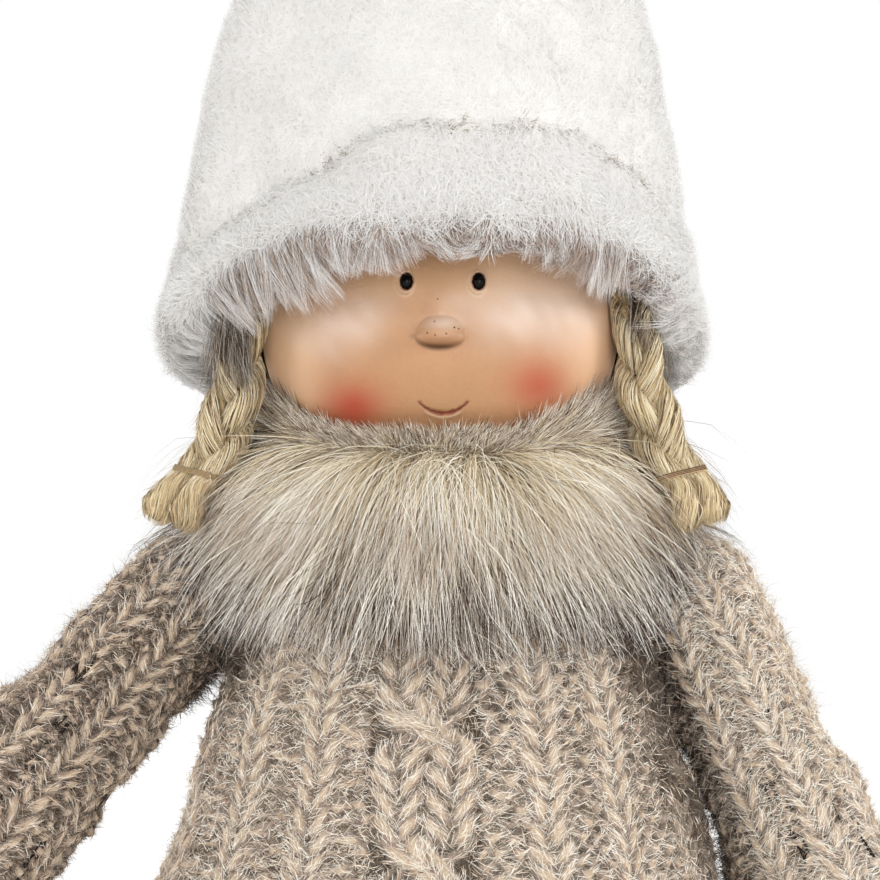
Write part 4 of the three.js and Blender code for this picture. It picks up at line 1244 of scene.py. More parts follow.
def make_collar_layer(rng, surface, layer, material, count, lengths, widths, lift, part, ragged, pieces, steps):
    rows = row_places(surface)
    weight = np.where((rows >= part[0]) & (rows <= part[1]), 0.3 + 1.2 * rows, 1e-6)
    if layer == "coat":
        aside = np.abs(np.sin(round_angles(surface.shape[1])))[None]
        weight = weight * (1 - 0.78 * smooth((aside - 0.74) / 0.16))
    roots, normals, row, turn = scatter(surface, count, rng, weight)
    lock = lock_leaders(roots, LOCK_SPACING, rng)
    paths = collar_paths(rng, roots, normals, row, turn, lengths, lift, steps, lock)
    ends = rng.uniform(*ragged, count)
    paths = clear_of_body(kept_above(paths, coat_edge(roots) + 0.6 * ends + 0.4 * ends[lock]))
    tones = collar_tones(rng, layer, roots, row, turn, lock)
    if layer == "coat":
        wide = smooth((np.abs(paths[:, -1, 0] + 2) - 43) / 9)
        kept = rng.random(count) > 0.7 * wide
        tones = tones - 0.5 * wide - 0.24 * smooth((0.4 - row) / 0.2)
        paths, normals, tones, count = paths[kept], normals[kept], tones[kept], kept.sum()
    fur(f"collar_{layer}", paths, normals, rng.uniform(*widths, count), np.clip(tones, 0.01, 0.99), rng, material,
        "torso", "collar_pile", pieces)


def collar_tones(rng, layer, roots, row, turn, lock):
    """How light each strand is: in streaks, lighter high up and darker at the sides."""
    count = len(roots)
    streak = 0.72 + 0.42 * ripple(roots * np.array([1, 1, 0.22]), 12, 44)
    streak = streak + 0.34 * rng.normal(size=count)[lock] - 0.007 * roots[:, 0]
    tones = streak + 0.24 * rng.normal(size=count)
    beside = smooth((np.abs(np.sin(turn)) - 0.74) / 0.14)
    upper = smooth((row - 0.44) / 0.3)
    if layer == "undercoat":
        return smooth((row - 0.3) / 0.3) * 0.7 + 0.3 * rng.random(count) - 0.6 * beside
    if layer == "tipped":
        return tones - 0.2 + 0.5 * upper - 0.45 * beside
    if layer == "guard":
        return 0.45 + 0.2 * upper + 0.3 * rng.normal(size=count)[lock] + 0.15 * rng.normal(size=count)
    return tones


def collar_paths(rng, roots, normals, row, turn, lengths, lift, steps, lock):
    """Pile that fans sideways and down from a parting under the chin, and falls with its weight."""
    count = len(roots)
    random = rng.normal(size=roots.shape)
    shared, own = rng.normal(size=(count, 2))[lock], rng.normal(size=count)
    down = downhill(normals)
    tangent = round_the_ring(turn)
    spread = np.sin(2 * turn) * (0.5 + 0.75 * row) + 0.4 * ripple(roots, 16, 43) + 0.4 * shared[:, 0] + 0.12 * own
    fan = spread[:, None] * tangent
    away = lift * (1.2 - 0.65 * np.sin(turn) ** 2) + 0.16 * shared[:, 1]
    loose = np.where(rng.random(count) < 0.15, 0.5, 0.22)[:, None]
    start = unit(down * 0.75 + normals * away[:, None] + fan * 0.9 + loose * random)
    finish = unit(down * 0.7 + normals * 0.12 + fan * 0.6 + np.array([0, 0, -0.5]) + loose * random)
    length = rng.uniform(*lengths, count) * (0.8 + 0.2 * row)
    paths = strand_paths(roots, start, finish, length, steps)
    paths = clump(clump(paths, LOCK_SPACING, 0.42, rng, 0.5, lock), 9.0, 0.2, rng)
    leap = np.maximum(paths[..., 2] - roots[:, 2:] - 1.5, 0)
    paths[..., 2] -= 0.8 * leap
    return paths


def make_collar_edge(rng, surface, tipped, coat):
    """Short pile above the parting, standing up against the chin and the cheeks."""
    rows = row_places(surface)
    for name, count, material, lengths in (("collar_edge_dark", 9500, tipped, (6, 11)),
                                           ("collar_edge_light", 12000, coat, (5, 10))):
        roots, normals, row, turn = scatter(surface, count, rng, np.where(rows > 0.83, 1.0, 1e-7))
        random = rng.normal(size=roots.shape)
        outward = level_outward(roots)
        tangent = round_the_ring(turn)
        aside = smooth((np.abs(np.sin(turn)) - 0.5 + 0.12 * np.sign(np.sin(turn))) / 0.42)
        fan = (np.sin(2 * turn) * 0.6 + 0.25 * ripple(roots, 7, 49))[:, None] * tangent
        high = smooth((row - 0.84) / 0.1)
        rise = UP * ((0.5 + 0.25 * aside) * (1.4 * high - 0.4))[:, None]
        start = unit(outward * 0.7 + rise + fan + 0.3 * random)
        finish = unit(outward * 0.55 + rise * 1.3 + fan + 0.35 * random)
        paths = strand_paths(roots, start, finish, rng.uniform(*lengths, count) * (0.52 + 0.73 * aside), 5)
        paths = off_head(clump(paths, 2.6, 0.35, rng))
        tones = rng.random(count) ** 0.7
        fur(name, paths, normals, rng.uniform(0.1, 0.19, count), tones, rng, material, "torso", "collar_pile")
    make_parting(rng, surface, coat)


PARTING_TOP = 262.0
PARTING_STRANDS = 2600


def make_parting(rng, surface, coat):
    """Tousled strands that cross over the parting under the chin."""
    rows = np.linspace(0, 1, len(surface) - 1)[:, None]
    angles = round_angles(surface.shape[1])[None]
    ahead = np.cos(angles - 0.12)
    weight = np.where((rows > 0.76) & (rows < 0.88) & (ahead > 0.72), 1.0, 1e-8)
    roots, normals, _, turn = scatter(surface, PARTING_STRANDS, rng, weight)
    count = len(roots)
    random = rng.normal(size=roots.shape)
    outward = level_outward(roots)
    tangent = round_the_ring(turn)
    sideways = tangent * rng.uniform(-1, 1, count)[:, None]
    start = unit(outward * 0.8 + sideways + np.array([0, 0, -0.3]) + 0.25 * random)
    finish = unit(outward * 0.1 + sideways * 0.8 + np.array([0, 0, -0.9]) + 0.4 * random)
    paths = off_head(clump(strand_paths(roots, start, finish, rng.uniform(4, 10, count), 6), 3.0, 0.3, rng))
    low = paths[..., 2].max(1) < PARTING_TOP
    paths, normals, count = paths[low], normals[low], low.sum()
    fur("collar_parting", paths, normals, rng.uniform(0.1, 0.18, count), rng.uniform(0.02, 0.8, count), rng, coat,
        "torso", "collar_pile")


def clear_of_body(paths):
    """Pile that lies on the shoulders instead of passing through them."""
    for side in (-1, 1):
        paths = pushed_out(paths, shoulder(side), SHOULDER_ROOM)
    level, rise = paths[..., :2], paths[..., 2:]
    half = np.stack(dress_size(paths[..., 2]), -1) + 2.2
    reach = np.linalg.norm(level / half, axis=-1, keepdims=True)
    return np.concatenate([np.where(reach < 1, level / np.maximum(reach, 1e-3), level), rise], -1)


# Knit
STITCH_SLOPE = 1.12


def stitch_column(across, along, half, pitch):
    """Height of a column of V stitches, from 0 to 1."""
    part = np.clip(np.abs(across) / half, 0, 1)
    leg = np.sin(part * TURN / 2) ** 0.55
    lie = np.abs(np.sin(TURN / 2 * (along - STITCH_SLOPE * np.abs(across)) / pitch)) ** 0.8
    return np.where(part < 1, leg * (0.12 + 0.88 * lie), 0)


def purl(across, along, pitch):
    """Height of the bumps between the columns, and how far their yarn leans."""
    row = np.floor(along / pitch)
    shift = across / 4.4 + 0.5 * (row % 2)
    arc = np.cos(TURN * shift)
    rise = np.abs(np.sin(TURN / 2 * (along / pitch + 0.22 * arc)))
    return (0.3 + 0.5 * (0.5 + 0.5 * arc)) * rise**0.8, TURN / 4 - 0.75 * np.sin(TURN * shift)


def cable(across, along):
    """Two ropes of stitches that cross over each other at each turn, and the lean of their yarn."""
    cell = along % CABLE_PITCH
    passing = smooth(cell / CABLE_CROSSING)
    over = bump(2 * cell / CABLE_CROSSING - 1)
    rope = CABLE_HALF / 2
    centre = rope * (1 - 2 * passing)
    steep = -2 * rope * 1.5 / CABLE_CROSSING * over
    heights, leans = [], []
    for sign, lift in ((-1, -0.3), (1, 0.3)):
        x = across - sign * centre
        lean = sign * steep
        dome = np.sqrt(np.maximum(1 - (x / (rope * 1.04)) ** 2, 0))
        stitched = stitch_column(x, along + lean * x, rope * 1.04, STITCH_PITCH)
        heights.append(np.where(dome > 0, (0.22 + lift * over) * dome + 0.75 * stitched, 0))
        leans.append(np.arctan(lean) + 0.6 * np.sign(x))
    front = heights[1] >= heights[0]
    return np.where(front, heights[1], heights[0]), np.where(front, leans[1], leans[0])


def knit_field(places, turn, radius, columns, cables, half):
    """Relief of a knitted surface, from 0 to about 1, and how far the yarn there leans from upright."""
    warp = 0.5 * ripple(places, 13, 51) + 0.2 * ripple(places, 5, 54)
    along = places[..., 2] + 0.8 * ripple(places, 17, 52) + 0.3 * ripple(places, 6, 55)
    relief, lean = purl(turn * radius + 1.6 * warp, along, 3.3)
    relief = relief * (1 + 0.3 * ripple(places, 7, 56)) + 0.12
    for k, centre in enumerate(columns):
        across = wrapped(turn - centre) * radius + warp
        inside = np.abs(across) < half
        stitched = 0.22 + 0.78 * stitch_column(across, along + 2.1 * k, half, STITCH_PITCH)
        relief = np.where(inside, stitched, relief)
        lean = np.where(inside, math.atan(1 / STITCH_SLOPE) * np.sign(across), lean)
    for k, centre in enumerate(cables):
        across = wrapped(turn - centre) * radius + warp
        inside = np.abs(across) < CABLE_HALF * 1.04
        ropes, slant = cable(across, along - CABLE_START + 11 * k)
        relief = np.where(inside, np.maximum(ropes, 0.15), relief)
        lean = np.where(inside, slant, lean)
    return relief, lean


DRESS_COLUMNS = [c + k * TURN / KNIT_REPEATS for k in range(KNIT_REPEATS) for c in COLUMN_ANGLES]
DRESS_CABLES = [CABLE_ANGLE + k * TURN / KNIT_REPEATS for k in range(KNIT_REPEATS)]
SLEEVE_COLUMNS = [(k + 0.35) * TURN / 8 for k in range(8)]
SLEEVE_HALF = 3.8
# How much darker than their relief says the sleeves' fibres are, on the doll's right and on its left: painted shade on
# the right sleeve and painted light on the left one
SLEEVE_SHADE = {-1: 0.58, 1: -0.14}
DRESS_FIBRES = 125000
SLEEVE_FIBRES = 42000


def shoulder(side):
    return np.array([side * SHOULDER_SPREAD, 0, SHOULDER_HEIGHT])


def rest_angle(side):
    """How far an arm stands out at rest: the doll's left hangs, and the right is lifted."""
    return HANGING_ANGLE if side > 0 else LIFTED_ANGLE


def arm_axis(side, angle):
    return np.array([side * math.sin(angle), 0, -math.cos(angle)])


def beside_sleeve(points, side):
    """How closely a place is hemmed in by the sleeve at rest, with depth counting less: 1 against it, 0 well clear of
    it. It sets the painted shade in the crease.
    """
    axis = arm_axis(side, rest_angle(side))
    away = (points - shoulder(side)) * np.array([1, 0.25, 1])
    along = np.clip(away @ axis, 0, ARM_ALONG[-1])
    gap = np.linalg.norm(away - along[..., None] * axis, axis=-1) - arm_radius(along)
    return smooth(1 - gap / 11)


def beside_dress(points):
    """How closely a place on a sleeve is hemmed in by the dress, which sets the painted shade in the crease."""
    width, depth = dress_size(points[..., 2])
    gap = (np.hypot(points[..., 0] / width, points[..., 1] / depth) - 1) * width
    return smooth(1 - gap / 11)


def yarn_fibres(name, grid, count, rng, columns, cables, half, place, body, pieces, shade):
    """Fibres that lie along the yarn of each stitch, with painted shade in the gaps and painted light on the crests.
    The grid is a piece before it is placed, and shade says how much painted shade each placed fibre gets."""
    roots, normals, _, turn = scatter(grid, count, rng)
    radius = np.hypot(roots[:, 0], roots[:, 1])
    relief, lean = knit_field(roots, turn, radius, columns, cables, half)
    tangent = unit(round_the_ring(turn))
    upward = unit(np.cross(normals, tangent))
    upward = upward * np.sign(upward[:, 2:] + 1e-9)
    lean = lean + rng.normal(size=count) * 0.2
    along = tangent * np.sin(lean)[:, None] + upward * np.cos(lean)[:, None]
    along = along * np.where(rng.random(count) < 0.5, -1.0, 1.0)[:, None]
    random = rng.normal(size=roots.shape)
    start = unit(along + normals * 0.22 + 0.12 * random)
    finish = unit(along + normals * rng.uniform(-0.25, 0.25, count)[:, None] + 0.3 * random)
    placed = place(strand_paths(roots + normals * 0.1, start, finish, rng.uniform(1.7, 3.4, count), 3))
    tones = 0.04 + 0.98 * relief + 0.26 * rng.normal(size=count) - 0.9 * shade(placed[:, 0])
    tones = np.clip(tones, 0.01, 0.99)
    material = shared_material("yarn_fibres", fibre_material, YARN_FIBRES, 0.8, 0.05, 0.15)
    facing = unit(place(roots + normals) - place(roots))
    fur(name, placed, facing, rng.uniform(0.13, 0.25, count), tones, rng, material, body, "knit_dress", pieces,
        twist=0.5)


def arm_radius(along):
    """The sleeve's radius at a distance from the shoulder."""
    return follow(np.clip(along, 0, ARM_ALONG[-1]), ARM_ALONG, ARM_RADII)


def pressed_by_arms(grid):
    """The dress drawn in where an arm hangs against it."""
    moved = grid.copy()
    for side in (-1, 1):
        axis = arm_axis(side, HANGING_ANGLE)
        away = moved - shoulder(side)
        along = np.clip(away @ axis, 0, ARM_ALONG[-1])
        off = away - along[..., None] * axis
        depth = arm_radius(along) + ARM_ROOM - np.linalg.norm(off, axis=-1)
        inward = np.array([-side, 0, 0])
        moved = moved + np.where(depth > 0, 1.15 * depth, 0)[..., None] * inward
    return moved


def dress_rings(angles, heights, grow=0.0):
    width, depth = dress_size(heights[:, None])
    return ring(heights[:, None], width + grow, depth + grow, angles)


# The knit: painted shade in the gaps, the yarn's own colour, and painted light on the crests
YARN = ((60, 49, 40), (172, 156, 139), (228, 215, 199))


def beside_sleeves(points):
    return beside_sleeve(points, -1) + beside_sleeve(points, 1)


def dress_knit():
    return shared_material("knit_dress", knit_material, *YARN)


def make_stuffing(name, rings, body, node):
    """A soft filling in place of a CAD node."""
    stuffed = skin(name, rings, shared_material("fibre_stuffing", stuffing_material))
    dress(stuffed, body, "stuffing", node)


def make_dress():
    rng = np.random.default_rng(61)
    angles = round_angles(520)
    heights = np.linspace(109.4, 246, 180)
    plain = dress_rings(angles, heights)
    local = np.hypot(plain[..., 0], plain[..., 1])
    grid = plain + grid_normals(plain) * (0.9 * ripple(plain, 34, 53))[..., None]
    grid = pressed_by_arms(grid)
    relief, _ = knit_field(grid, over_rows(angles, len(heights)), local, DRESS_COLUMNS, DRESS_CABLES, COLUMN_HALF)
    outer = grid + grid_normals(grid) * (relief * 2.5 - 1.2)[..., None]
    shell = with_wall(outer, DRESS_WALL)
    # Painted shade in the crease beside the sleeves
    shaded = relief * (1 - 0.85 * beside_sleeves(outer))
    dress(skin("dress_knit", shell, dress_knit(), True, {"relief": shaded}), "torso", "knit_dress", "dress_body")
    yarn_fibres("dress_yarn", outer, DRESS_FIBRES, rng, DRESS_COLUMNS, DRESS_CABLES, COLUMN_HALF, lambda p: p,
                "torso", 4, beside_sleeves)
    fuzz("dress_mohair", outer, 21000, rng, "torso", "knit_dress")
    soft = dress_rings(round_angles(96), np.linspace(109, 244, 40), -4.2)
    make_stuffing("body_stuffing", pressed_by_arms(soft), "torso", "body_filling")


def fuzz(name, grid, count, rng, body, slot, length=(2.0, 5.4), lift=0.4, weight=None, material=None):
    """Curly mohair that stands off the knit, or thicker wool of another material."""
    roots, normals, _, _ = scatter(grid, count, rng, weight)
    random = unit(rng.normal(size=roots.shape))
    other = unit(rng.normal(size=roots.shape))
    start = unit(normals * lift + random)
    finish = unit(normals * lift * 0.35 + random * 0.2 + other)
    start = unit(start + normals * np.maximum(0, -(start * normals).sum(-1))[:, None] * 1.6)
    finish = unit(finish + normals * np.maximum(0, -(finish * normals).sum(-1))[:, None] * 1.3)
    paths = strand_paths(roots + normals * 0.2, start, finish, rng.uniform(*length, count), 4)
    thick = 1.0 if material is None else 2.0
    material = material or shared_material("mohair", fibre_material, MOHAIR, 0.75, 0.1)
    widths = thick * rng.uniform(0.05, 0.09, count)
    fur(name, paths, normals, widths, rng.random(count), rng, material, body, slot)


def ribbed(rings, ribs, depth, angles):
    """A grid with rounded ribs that run along it, and the depth of each place."""
    wave_line = over_rows(np.abs(np.cos(ribs / 2 * angles)), len(rings))
    return rings + grid_normals(rings) * ((wave_line**0.7 - 0.6) * depth)[..., None], wave_line


def make_hem():
    angles = round_angles(720)
    turns = np.linspace(0, TURN, 26, endpoint=False)
    low, high = node_box("hem_band")
    middle, half = (low[2] + high[2]) / 2, (high[2] - low[2]) / 2
    out = 2.5 + 2.5 * np.cos(turns) - 2.7
    rings = np.stack([ring(middle + half * math.sin(t), 78 + o, 60 + o, angles) for t, o in zip(turns, out)])
    grid, depth = ribbed(rings, 130, 1.1, angles)
    dress(skin("hem_rib", grid, dress_knit(), True, {"relief": depth}), "torso", "knit_rib", "hem_band")
    fuzz("hem_mohair", rings[:14], 5000, np.random.default_rng(71), "torso", "knit_rib", (1.5, 4.0))


def placed_arm(points, side):
    """An arm built hanging straight down from the origin, turned out and hung from its shoulder."""
    return turned_y(points, side * rest_angle(side)) + shoulder(side)


def sleeve_rings(angles, shrink=0.0, rows=190, end=103.6):
    """The domed shoulder and the sleeve below it, hanging straight down from the origin."""
    dome = np.linspace(0.12, 1, 40)[:-1] * TURN / 4
    along = np.linspace(0, end, rows)
    heights = np.concatenate([ARM_RADII[0] * np.cos(dome), -along])
    radii = np.concatenate([ARM_RADII[0] * np.sin(dome), arm_radius(along)])[:, None] - shrink
    return ring(heights[:, None], radii, radii, angles)


def make_arm(name, side, seed):
    rng = np.random.default_rng(seed)
    body = f"arm_{name}"
    make_sleeve(name, side, body, rng, seed)
    make_wrist(name, side, body, rng)
    make_mitten(name, side, body)


def make_sleeve(name, side, body, rng, seed):
    angles = round_angles(230)
    rings = sleeve_rings(angles)
    creases = 0.9 * ripple(rings * np.array([1, 1, 1.6]), 26, seed) * smooth(-rings[..., 2] / 20)
    rings = rings + grid_normals(rings) * creases[..., None]
    radius = np.hypot(rings[..., 0], rings[..., 1])
    depth, _ = knit_field(rings, over_rows(angles, len(rings)), radius, SLEEVE_COLUMNS, (), SLEEVE_HALF)
    outer = rings + grid_normals(rings) * (depth * 2.4 - 2.3)[..., None]
    shell = placed_arm(with_wall(outer, 2.0), side)
    dress(skin(f"sleeve_knit_{name}", shell, dress_knit(), True, {"relief": depth}), body, "knit_dress",
          f"sleeve_{name}")
    dim = SLEEVE_SHADE[side]
    yarn_fibres(f"sleeve_yarn_{name}", outer, SLEEVE_FIBRES, rng, SLEEVE_COLUMNS, (), SLEEVE_HALF,
                lambda p: placed_arm(p, side), body, 1, lambda p: beside_dress(p) + dim)
    hung = placed_arm(outer, side)
    fuzz(f"sleeve_mohair_{name}", hung, 8000, rng, body, "knit_dress")
    # Dark wool as painted shade in the crease where the sleeve meets the dress
    near = beside_dress(hung[:-1])
    fold = shared_material("fold_wool", fibre_material, FOLD_SHADE, 0.85, 0.1, 0.15)
    fuzz(f"fold_wool_{name}", hung, 3600, rng, body, "knit_dress", (2.5, 5.0), 0.6, near**2 + 1e-6, fold)
    soft = placed_arm(sleeve_rings(round_angles(48), 3.4, 40, 102.6), side)
    make_stuffing(f"arm_stuffing_{name}", soft, body, f"arm_filling_{name}")


def make_wrist(name, side, body, rng):
    angles = round_angles(200)
    steps = np.linspace(0, 1, 30)
    radius = 13.0 + 0.5 * np.sin(steps * TURN / 2) - 0.6 * (1 - smooth(np.minimum(steps, 1 - steps) * 6))
    heights = -CUFF_BAND[0] - (CUFF_BAND[1] - CUFF_BAND[0]) * steps
    rings = ring(heights[:, None], radius[:, None], radius[:, None], angles)
    grid, depth = ribbed(rings, 36, 0.9, angles)
    shell = placed_arm(with_wall(grid, 2.4, 4), side)
    dress(skin(f"wrist_rib_{name}", shell, dress_knit(), True, {"relief": depth}), body, "knit_rib",
          f"sleeve_cuff_{name}")
    fuzz(f"wrist_mohair_{name}", placed_arm(rings, side), 2200, rng, body, "knit_rib", (1.5, 3.5))


def make_mitten(name, side, body):
    """A flat felt mitten with its thumb to the front and a blanket stitch round the edge."""
    felt = shared_material("mitten_felt", felt_material, (104, 92, 82), (150, 137, 124))
    steps = np.linspace(0, 1, 60)[:, None]
    thick, wide = follow(steps, MITTEN_KNOTS, MITTEN_THICK), follow(steps, MITTEN_KNOTS, MITTEN_WIDE)
    rings = ring(-MITTEN_TOP - (MITTEN_TIP - MITTEN_TOP) * steps, thick, wide, round_angles(96))
    rings = rings + grid_normals(rings) * (0.25 * ripple(rings, 9, 91))[..., None]
    thumb_turns = np.linspace(-0.96, 0.96, 36) * TURN / 4
    thumb = np.stack([ring(9.3 * math.sin(t), 4.5 * math.cos(t), 4.5 * math.cos(t), round_angles(48))
                      for t in thumb_turns])
    thumb = turned_x(thumb, math.radians(31.5)) + np.array([0, -10.7, -127.9])
    palm = skin_parts(placed_arm(rings, side))
    digit = skin_parts(placed_arm(thumb, side))
    dress(joined(f"felt_mitten_{name}", [palm, digit], felt), body, "felt", f"mitten_{name}")
    fuzz(f"mitten_fuzz_{name}", placed_arm(rings, side), 3500, np.random.default_rng(95), body, "felt", (1.0, 2.2))
    make_mitten_stitches(name, side, body)


def make_mitten_stitches(name, side, body):
    thread = shared_material("mitten_thread", jute_material, (120, 104, 84), (176, 158, 132), (214, 200, 178))
    parts = []
    for edge in (-1, 1):
        for s in np.linspace(0.12, 0.9, 14):
            y = edge * (follow(s, MITTEN_KNOTS, MITTEN_WIDE) - 0.9)
            z = -MITTEN_TOP - (MITTEN_TIP - MITTEN_TOP) * s
            for face in (-1, 1):
                line = np.array([[face * 2.6, y - edge * 2.3, z], [face * 2.2, y - edge * 0.4, z],
                                 [0, y + edge * 1.1, z]])
                lifted = np.array([[face * 5.2, y - edge * 2.6, z], [face * 3.6, y - edge * 0.6, z],
                                   [face * 0.1, y + edge * 1.15, z]])
                parts.append(tube_parts(placed_arm(np.maximum(np.abs(lifted), np.abs(line)) * np.sign(lifted), side),
                                        np.array([0.3, 0.34, 0.3]), 6))
    dress(joined(f"mitten_stitches_{name}", parts, thread), body, "thread")


def tube_parts(path, radii, sides, seam=None):
    """A tube along a path, as parts of a mesh."""
    tangents = unit(np.gradient(path, axis=0))
    guide = np.array([0.2, 1.0, 0.1]) if seam is None else seam
    side = unit(np.cross(tangents, guide))
    front = np.cross(side, tangents)
    spokes = swept(side[:, None], front[:, None], round_angles(sides)[None])
    return skin_parts(path[:, None] + radii[:, None, None] * spokes)


# Plaits
def cord_line(index, along, kick):
    """The middle line and radius of one cord of a plait that hangs down from the origin."""
    turn = (along - TIE_AT) / PLAIT_PITCH * TURN + TURN / 4
    phase = index * TURN / 3
    past = np.maximum(0, along - TIE_AT - TIE_HEIGHT)
    flare = past / (TUFT_LENGTH - TIE_HEIGHT)
    held = np.clip((along - TIE_AT) / (PLAIT_PITCH / 4), -1, 0)
    squeeze = 1 - 0.12 * smooth(1 + held)
    settled = np.where(along > TIE_AT, TURN / 4, turn)
    x = PLAIT_SPREAD * squeeze * np.sin(settled + phase) * (1 + TUFT_SPREAD * flare) + past * math.tan(kick)
    y = PLAIT_DEPTH * np.sin(2 * (settled + phase)) * (1 + TUFT_SPREAD * flare)
    radius = CORD_RADIUS + (TUFT_RADIUS - CORD_RADIUS) * smooth(flare)
    slim = 0.82 + 0.18 * smooth((along - 2) / 22)
    return np.stack([x * slim, y * slim, -along], -1), radius * slim


def plait_root(name):
    low, high = node_box(f"plait_{name}_knot")
    return (low + high) / 2


def placed_plait(points, name):
    """A plait built for the doll's left, hung from its knot and mirrored for the right."""
    hang = np.clip(-points[..., 2] / (TIE_AT + 5), 0, 1)
    bent = points - np.sin(hang * TURN / 2)[..., None] * np.array([PLAIT_BOW, 0, 0])
    moved = turned_x(turned_y(bent, PLAIT_LEAN), -PLAIT_FORWARD)
    mirror = np.array([1.0 if name == "left" else -1.0, 1, 1])
    return moved * mirror + plait_root(name)


def cord_frame(index, along, kick):
    centre, radius = cord_line(index, along, kick)
    ahead, _ = cord_line(index, along + 0.2, kick)
    behind, _ = cord_line(index, along - 0.2, kick)
    heading = unit(ahead - behind)
    side = unit(np.cross(np.array([0, 1.0, 0]), heading))
    return centre, radius, side, np.cross(heading, side)


def make_plait(name, seed):
    rng = np.random.default_rng(seed)
    body = f"plait_{name}"
    # The cords under the fibres, darkened as painted shade between the fibres
    core = shared_material("jute_core", jute_material, (84, 66, 46), (146, 124, 92), (196, 174, 138))
    fibre = shared_material("jute_fibre", jute_material, (130, 106, 74), (224, 205, 170), (252, 243, 222))
    end = TIE_AT + TUFT_LENGTH
    for index in range(3):
        along = np.linspace(PLAIT_TOP, end - 0.6, 120)
        centre, radius, side, front = cord_frame(index, along, TUFT_KICKS[name])
        turns = round_angles(24)
        lay = 1 + 0.1 * np.cos(3 * (turns[None] + along[:, None] * 0.75))
        blunt = np.sqrt(np.clip((end - along) / 3.2, 0.06, 1))
        reach = (radius * 0.86 * blunt)[:, None] * lay
        rings = centre[:, None] + reach[..., None] * swept(side[:, None], front[:, None], turns[None])
        points, faces, uv = skin_parts(placed_plait(rings, name))
        # Corner coordinates that darken the grooves of each cord's lay, as painted shade
        depth = [np.stack([0.15 + 0.5 * (0.5 + 0.5 * np.cos(3 * TURN * u[..., 0] + 90 * u[..., 1])), u[..., 1]], -1)
                 for u in uv]
        cord = build_mesh(f"jute_{name}_{index + 1}", points, faces, core, depth)
        dress(cord, body, "jute", f"plait_{name}_cord_{index + 1}")
    jute_fibres(name, body, fibre, rng, end)
    make_knot(name, body, core, fibre, rng)
    make_tie(name, body)


def jute_fibres(name, body, material, rng, end):
    """Fibres laid along the twist of each cord, frayed at the cut ends, and a few strays."""
    paths, facing, dull = [], [], []
    steps = 14
    for index in range(3):
        for count, low, high, spread in ((560, PLAIT_TOP, TIE_AT - 1, 0.0), (420, TIE_AT - 2, end - 5, 1.0)):
            dull += [spread] * count
            start = rng.uniform(low, high, count)
            run = rng.uniform(9, 17, count)
            turn = rng.random(count) * TURN
            off = rng.uniform(0.9, 1.1, count) + 0.05 * spread
            for s, r, a, o in zip(start, run, turn, off):
                stop = min(s + r, end + rng.uniform(-1.5, 0.4))
                along = np.linspace(s, max(stop, s + 2), steps)
                centre, radius, side, front = cord_frame(index, along, TUFT_KICKS[name])
                lay = a + 0.24 * (along - s) * (1 - 0.5 * smooth((along - TIE_AT) / 4))
                lift = o + 0.09 * np.sin(np.linspace(0, 1.5 * TURN, steps) + a)
                fray = 0.1 * smooth((along - end + 4) / 4) * rng.uniform(0, 1)
                lift = lift * np.sqrt(np.clip((end + 0.6 - along) / 3.2, 0.06, 1))
                out = swept(side, front, lay)
                paths.append(centre + out * (radius * (lift + fray))[:, None])
                facing.append(out[steps // 2])
    for _ in range(STRAYS):
        index = rng.integers(3)
        s = rng.uniform(PLAIT_START, end - 6)
        along = np.linspace(s, s + rng.uniform(4, 12), steps)
        centre, radius, side, front = cord_frame(index, along, TUFT_KICKS[name])
        lay = rng.uniform(0, TURN) + 0.1 * (along - s)
        leave = np.linspace(0, 1, steps) ** 1.6 * rng.uniform(0.5, 3.0)
        out = swept(side, front, lay)
        paths.append(centre + out * (radius + leave)[:, None])
        facing.append(out[steps // 2])
    hung = placed_plait(np.array(paths), name)
    out = placed_plait(np.array(facing), name) - plait_root(name)
    count = len(hung)
    tones = np.clip(rng.beta(2.2, 1.6, count) * (1 - 0.38 * np.array(dull + [0.0] * STRAYS)), 0.02, 0.98)
    widths = np.where(np.arange(count) < count - STRAYS, rng.uniform(0.18, 0.42, count), rng.uniform(0.1, 0.2, count))
    fur(f"jute_fibres_{name}", hung, unit(out), widths, tones, rng, material, body, "jute", twist=0.4)


def make_knot(name, body, core, fibre, rng):
    """The overhand knot under the hat's edge, wound from the same cord."""
    low, high = node_box(f"plait_{name}_knot")
    radius = (high - low)[0] / 2
    parts = []
    for k in range(3):
        t = np.linspace(0, TURN, 60)
        loop = np.stack([np.cos(t), np.sin(t), 0.45 * np.sin(2 * t)], -1) * (radius - 1.5)
        turned = turned_x(turned_y(loop, k * 1.1), k * 0.9)
        parts.append(tube_parts(turned + plait_root(name), np.full(60, 1.35), 12))
    dress(joined(f"knot_{name}", parts, core), body, "jute", f"plait_{name}_knot")
    start = unit(rng.normal(size=(KNOT_FIBRES, 3)))
    roots = plait_root(name) + start * (radius - 0.9)
    sweep = unit(np.cross(start, rng.normal(size=start.shape)))
    paths = strand_paths(roots, sweep, unit(sweep - start * 0.4), rng.uniform(3, 6, KNOT_FIBRES), 6)
    fur(f"knot_fibres_{name}", paths, start, rng.uniform(0.2, 0.4, KNOT_FIBRES), rng.random(KNOT_FIBRES), rng,
        fibre, body, "jute")


def plait_thread():
    return shared_material("plait_thread", jute_material, (100, 78, 52), (160, 134, 98), (206, 182, 144))


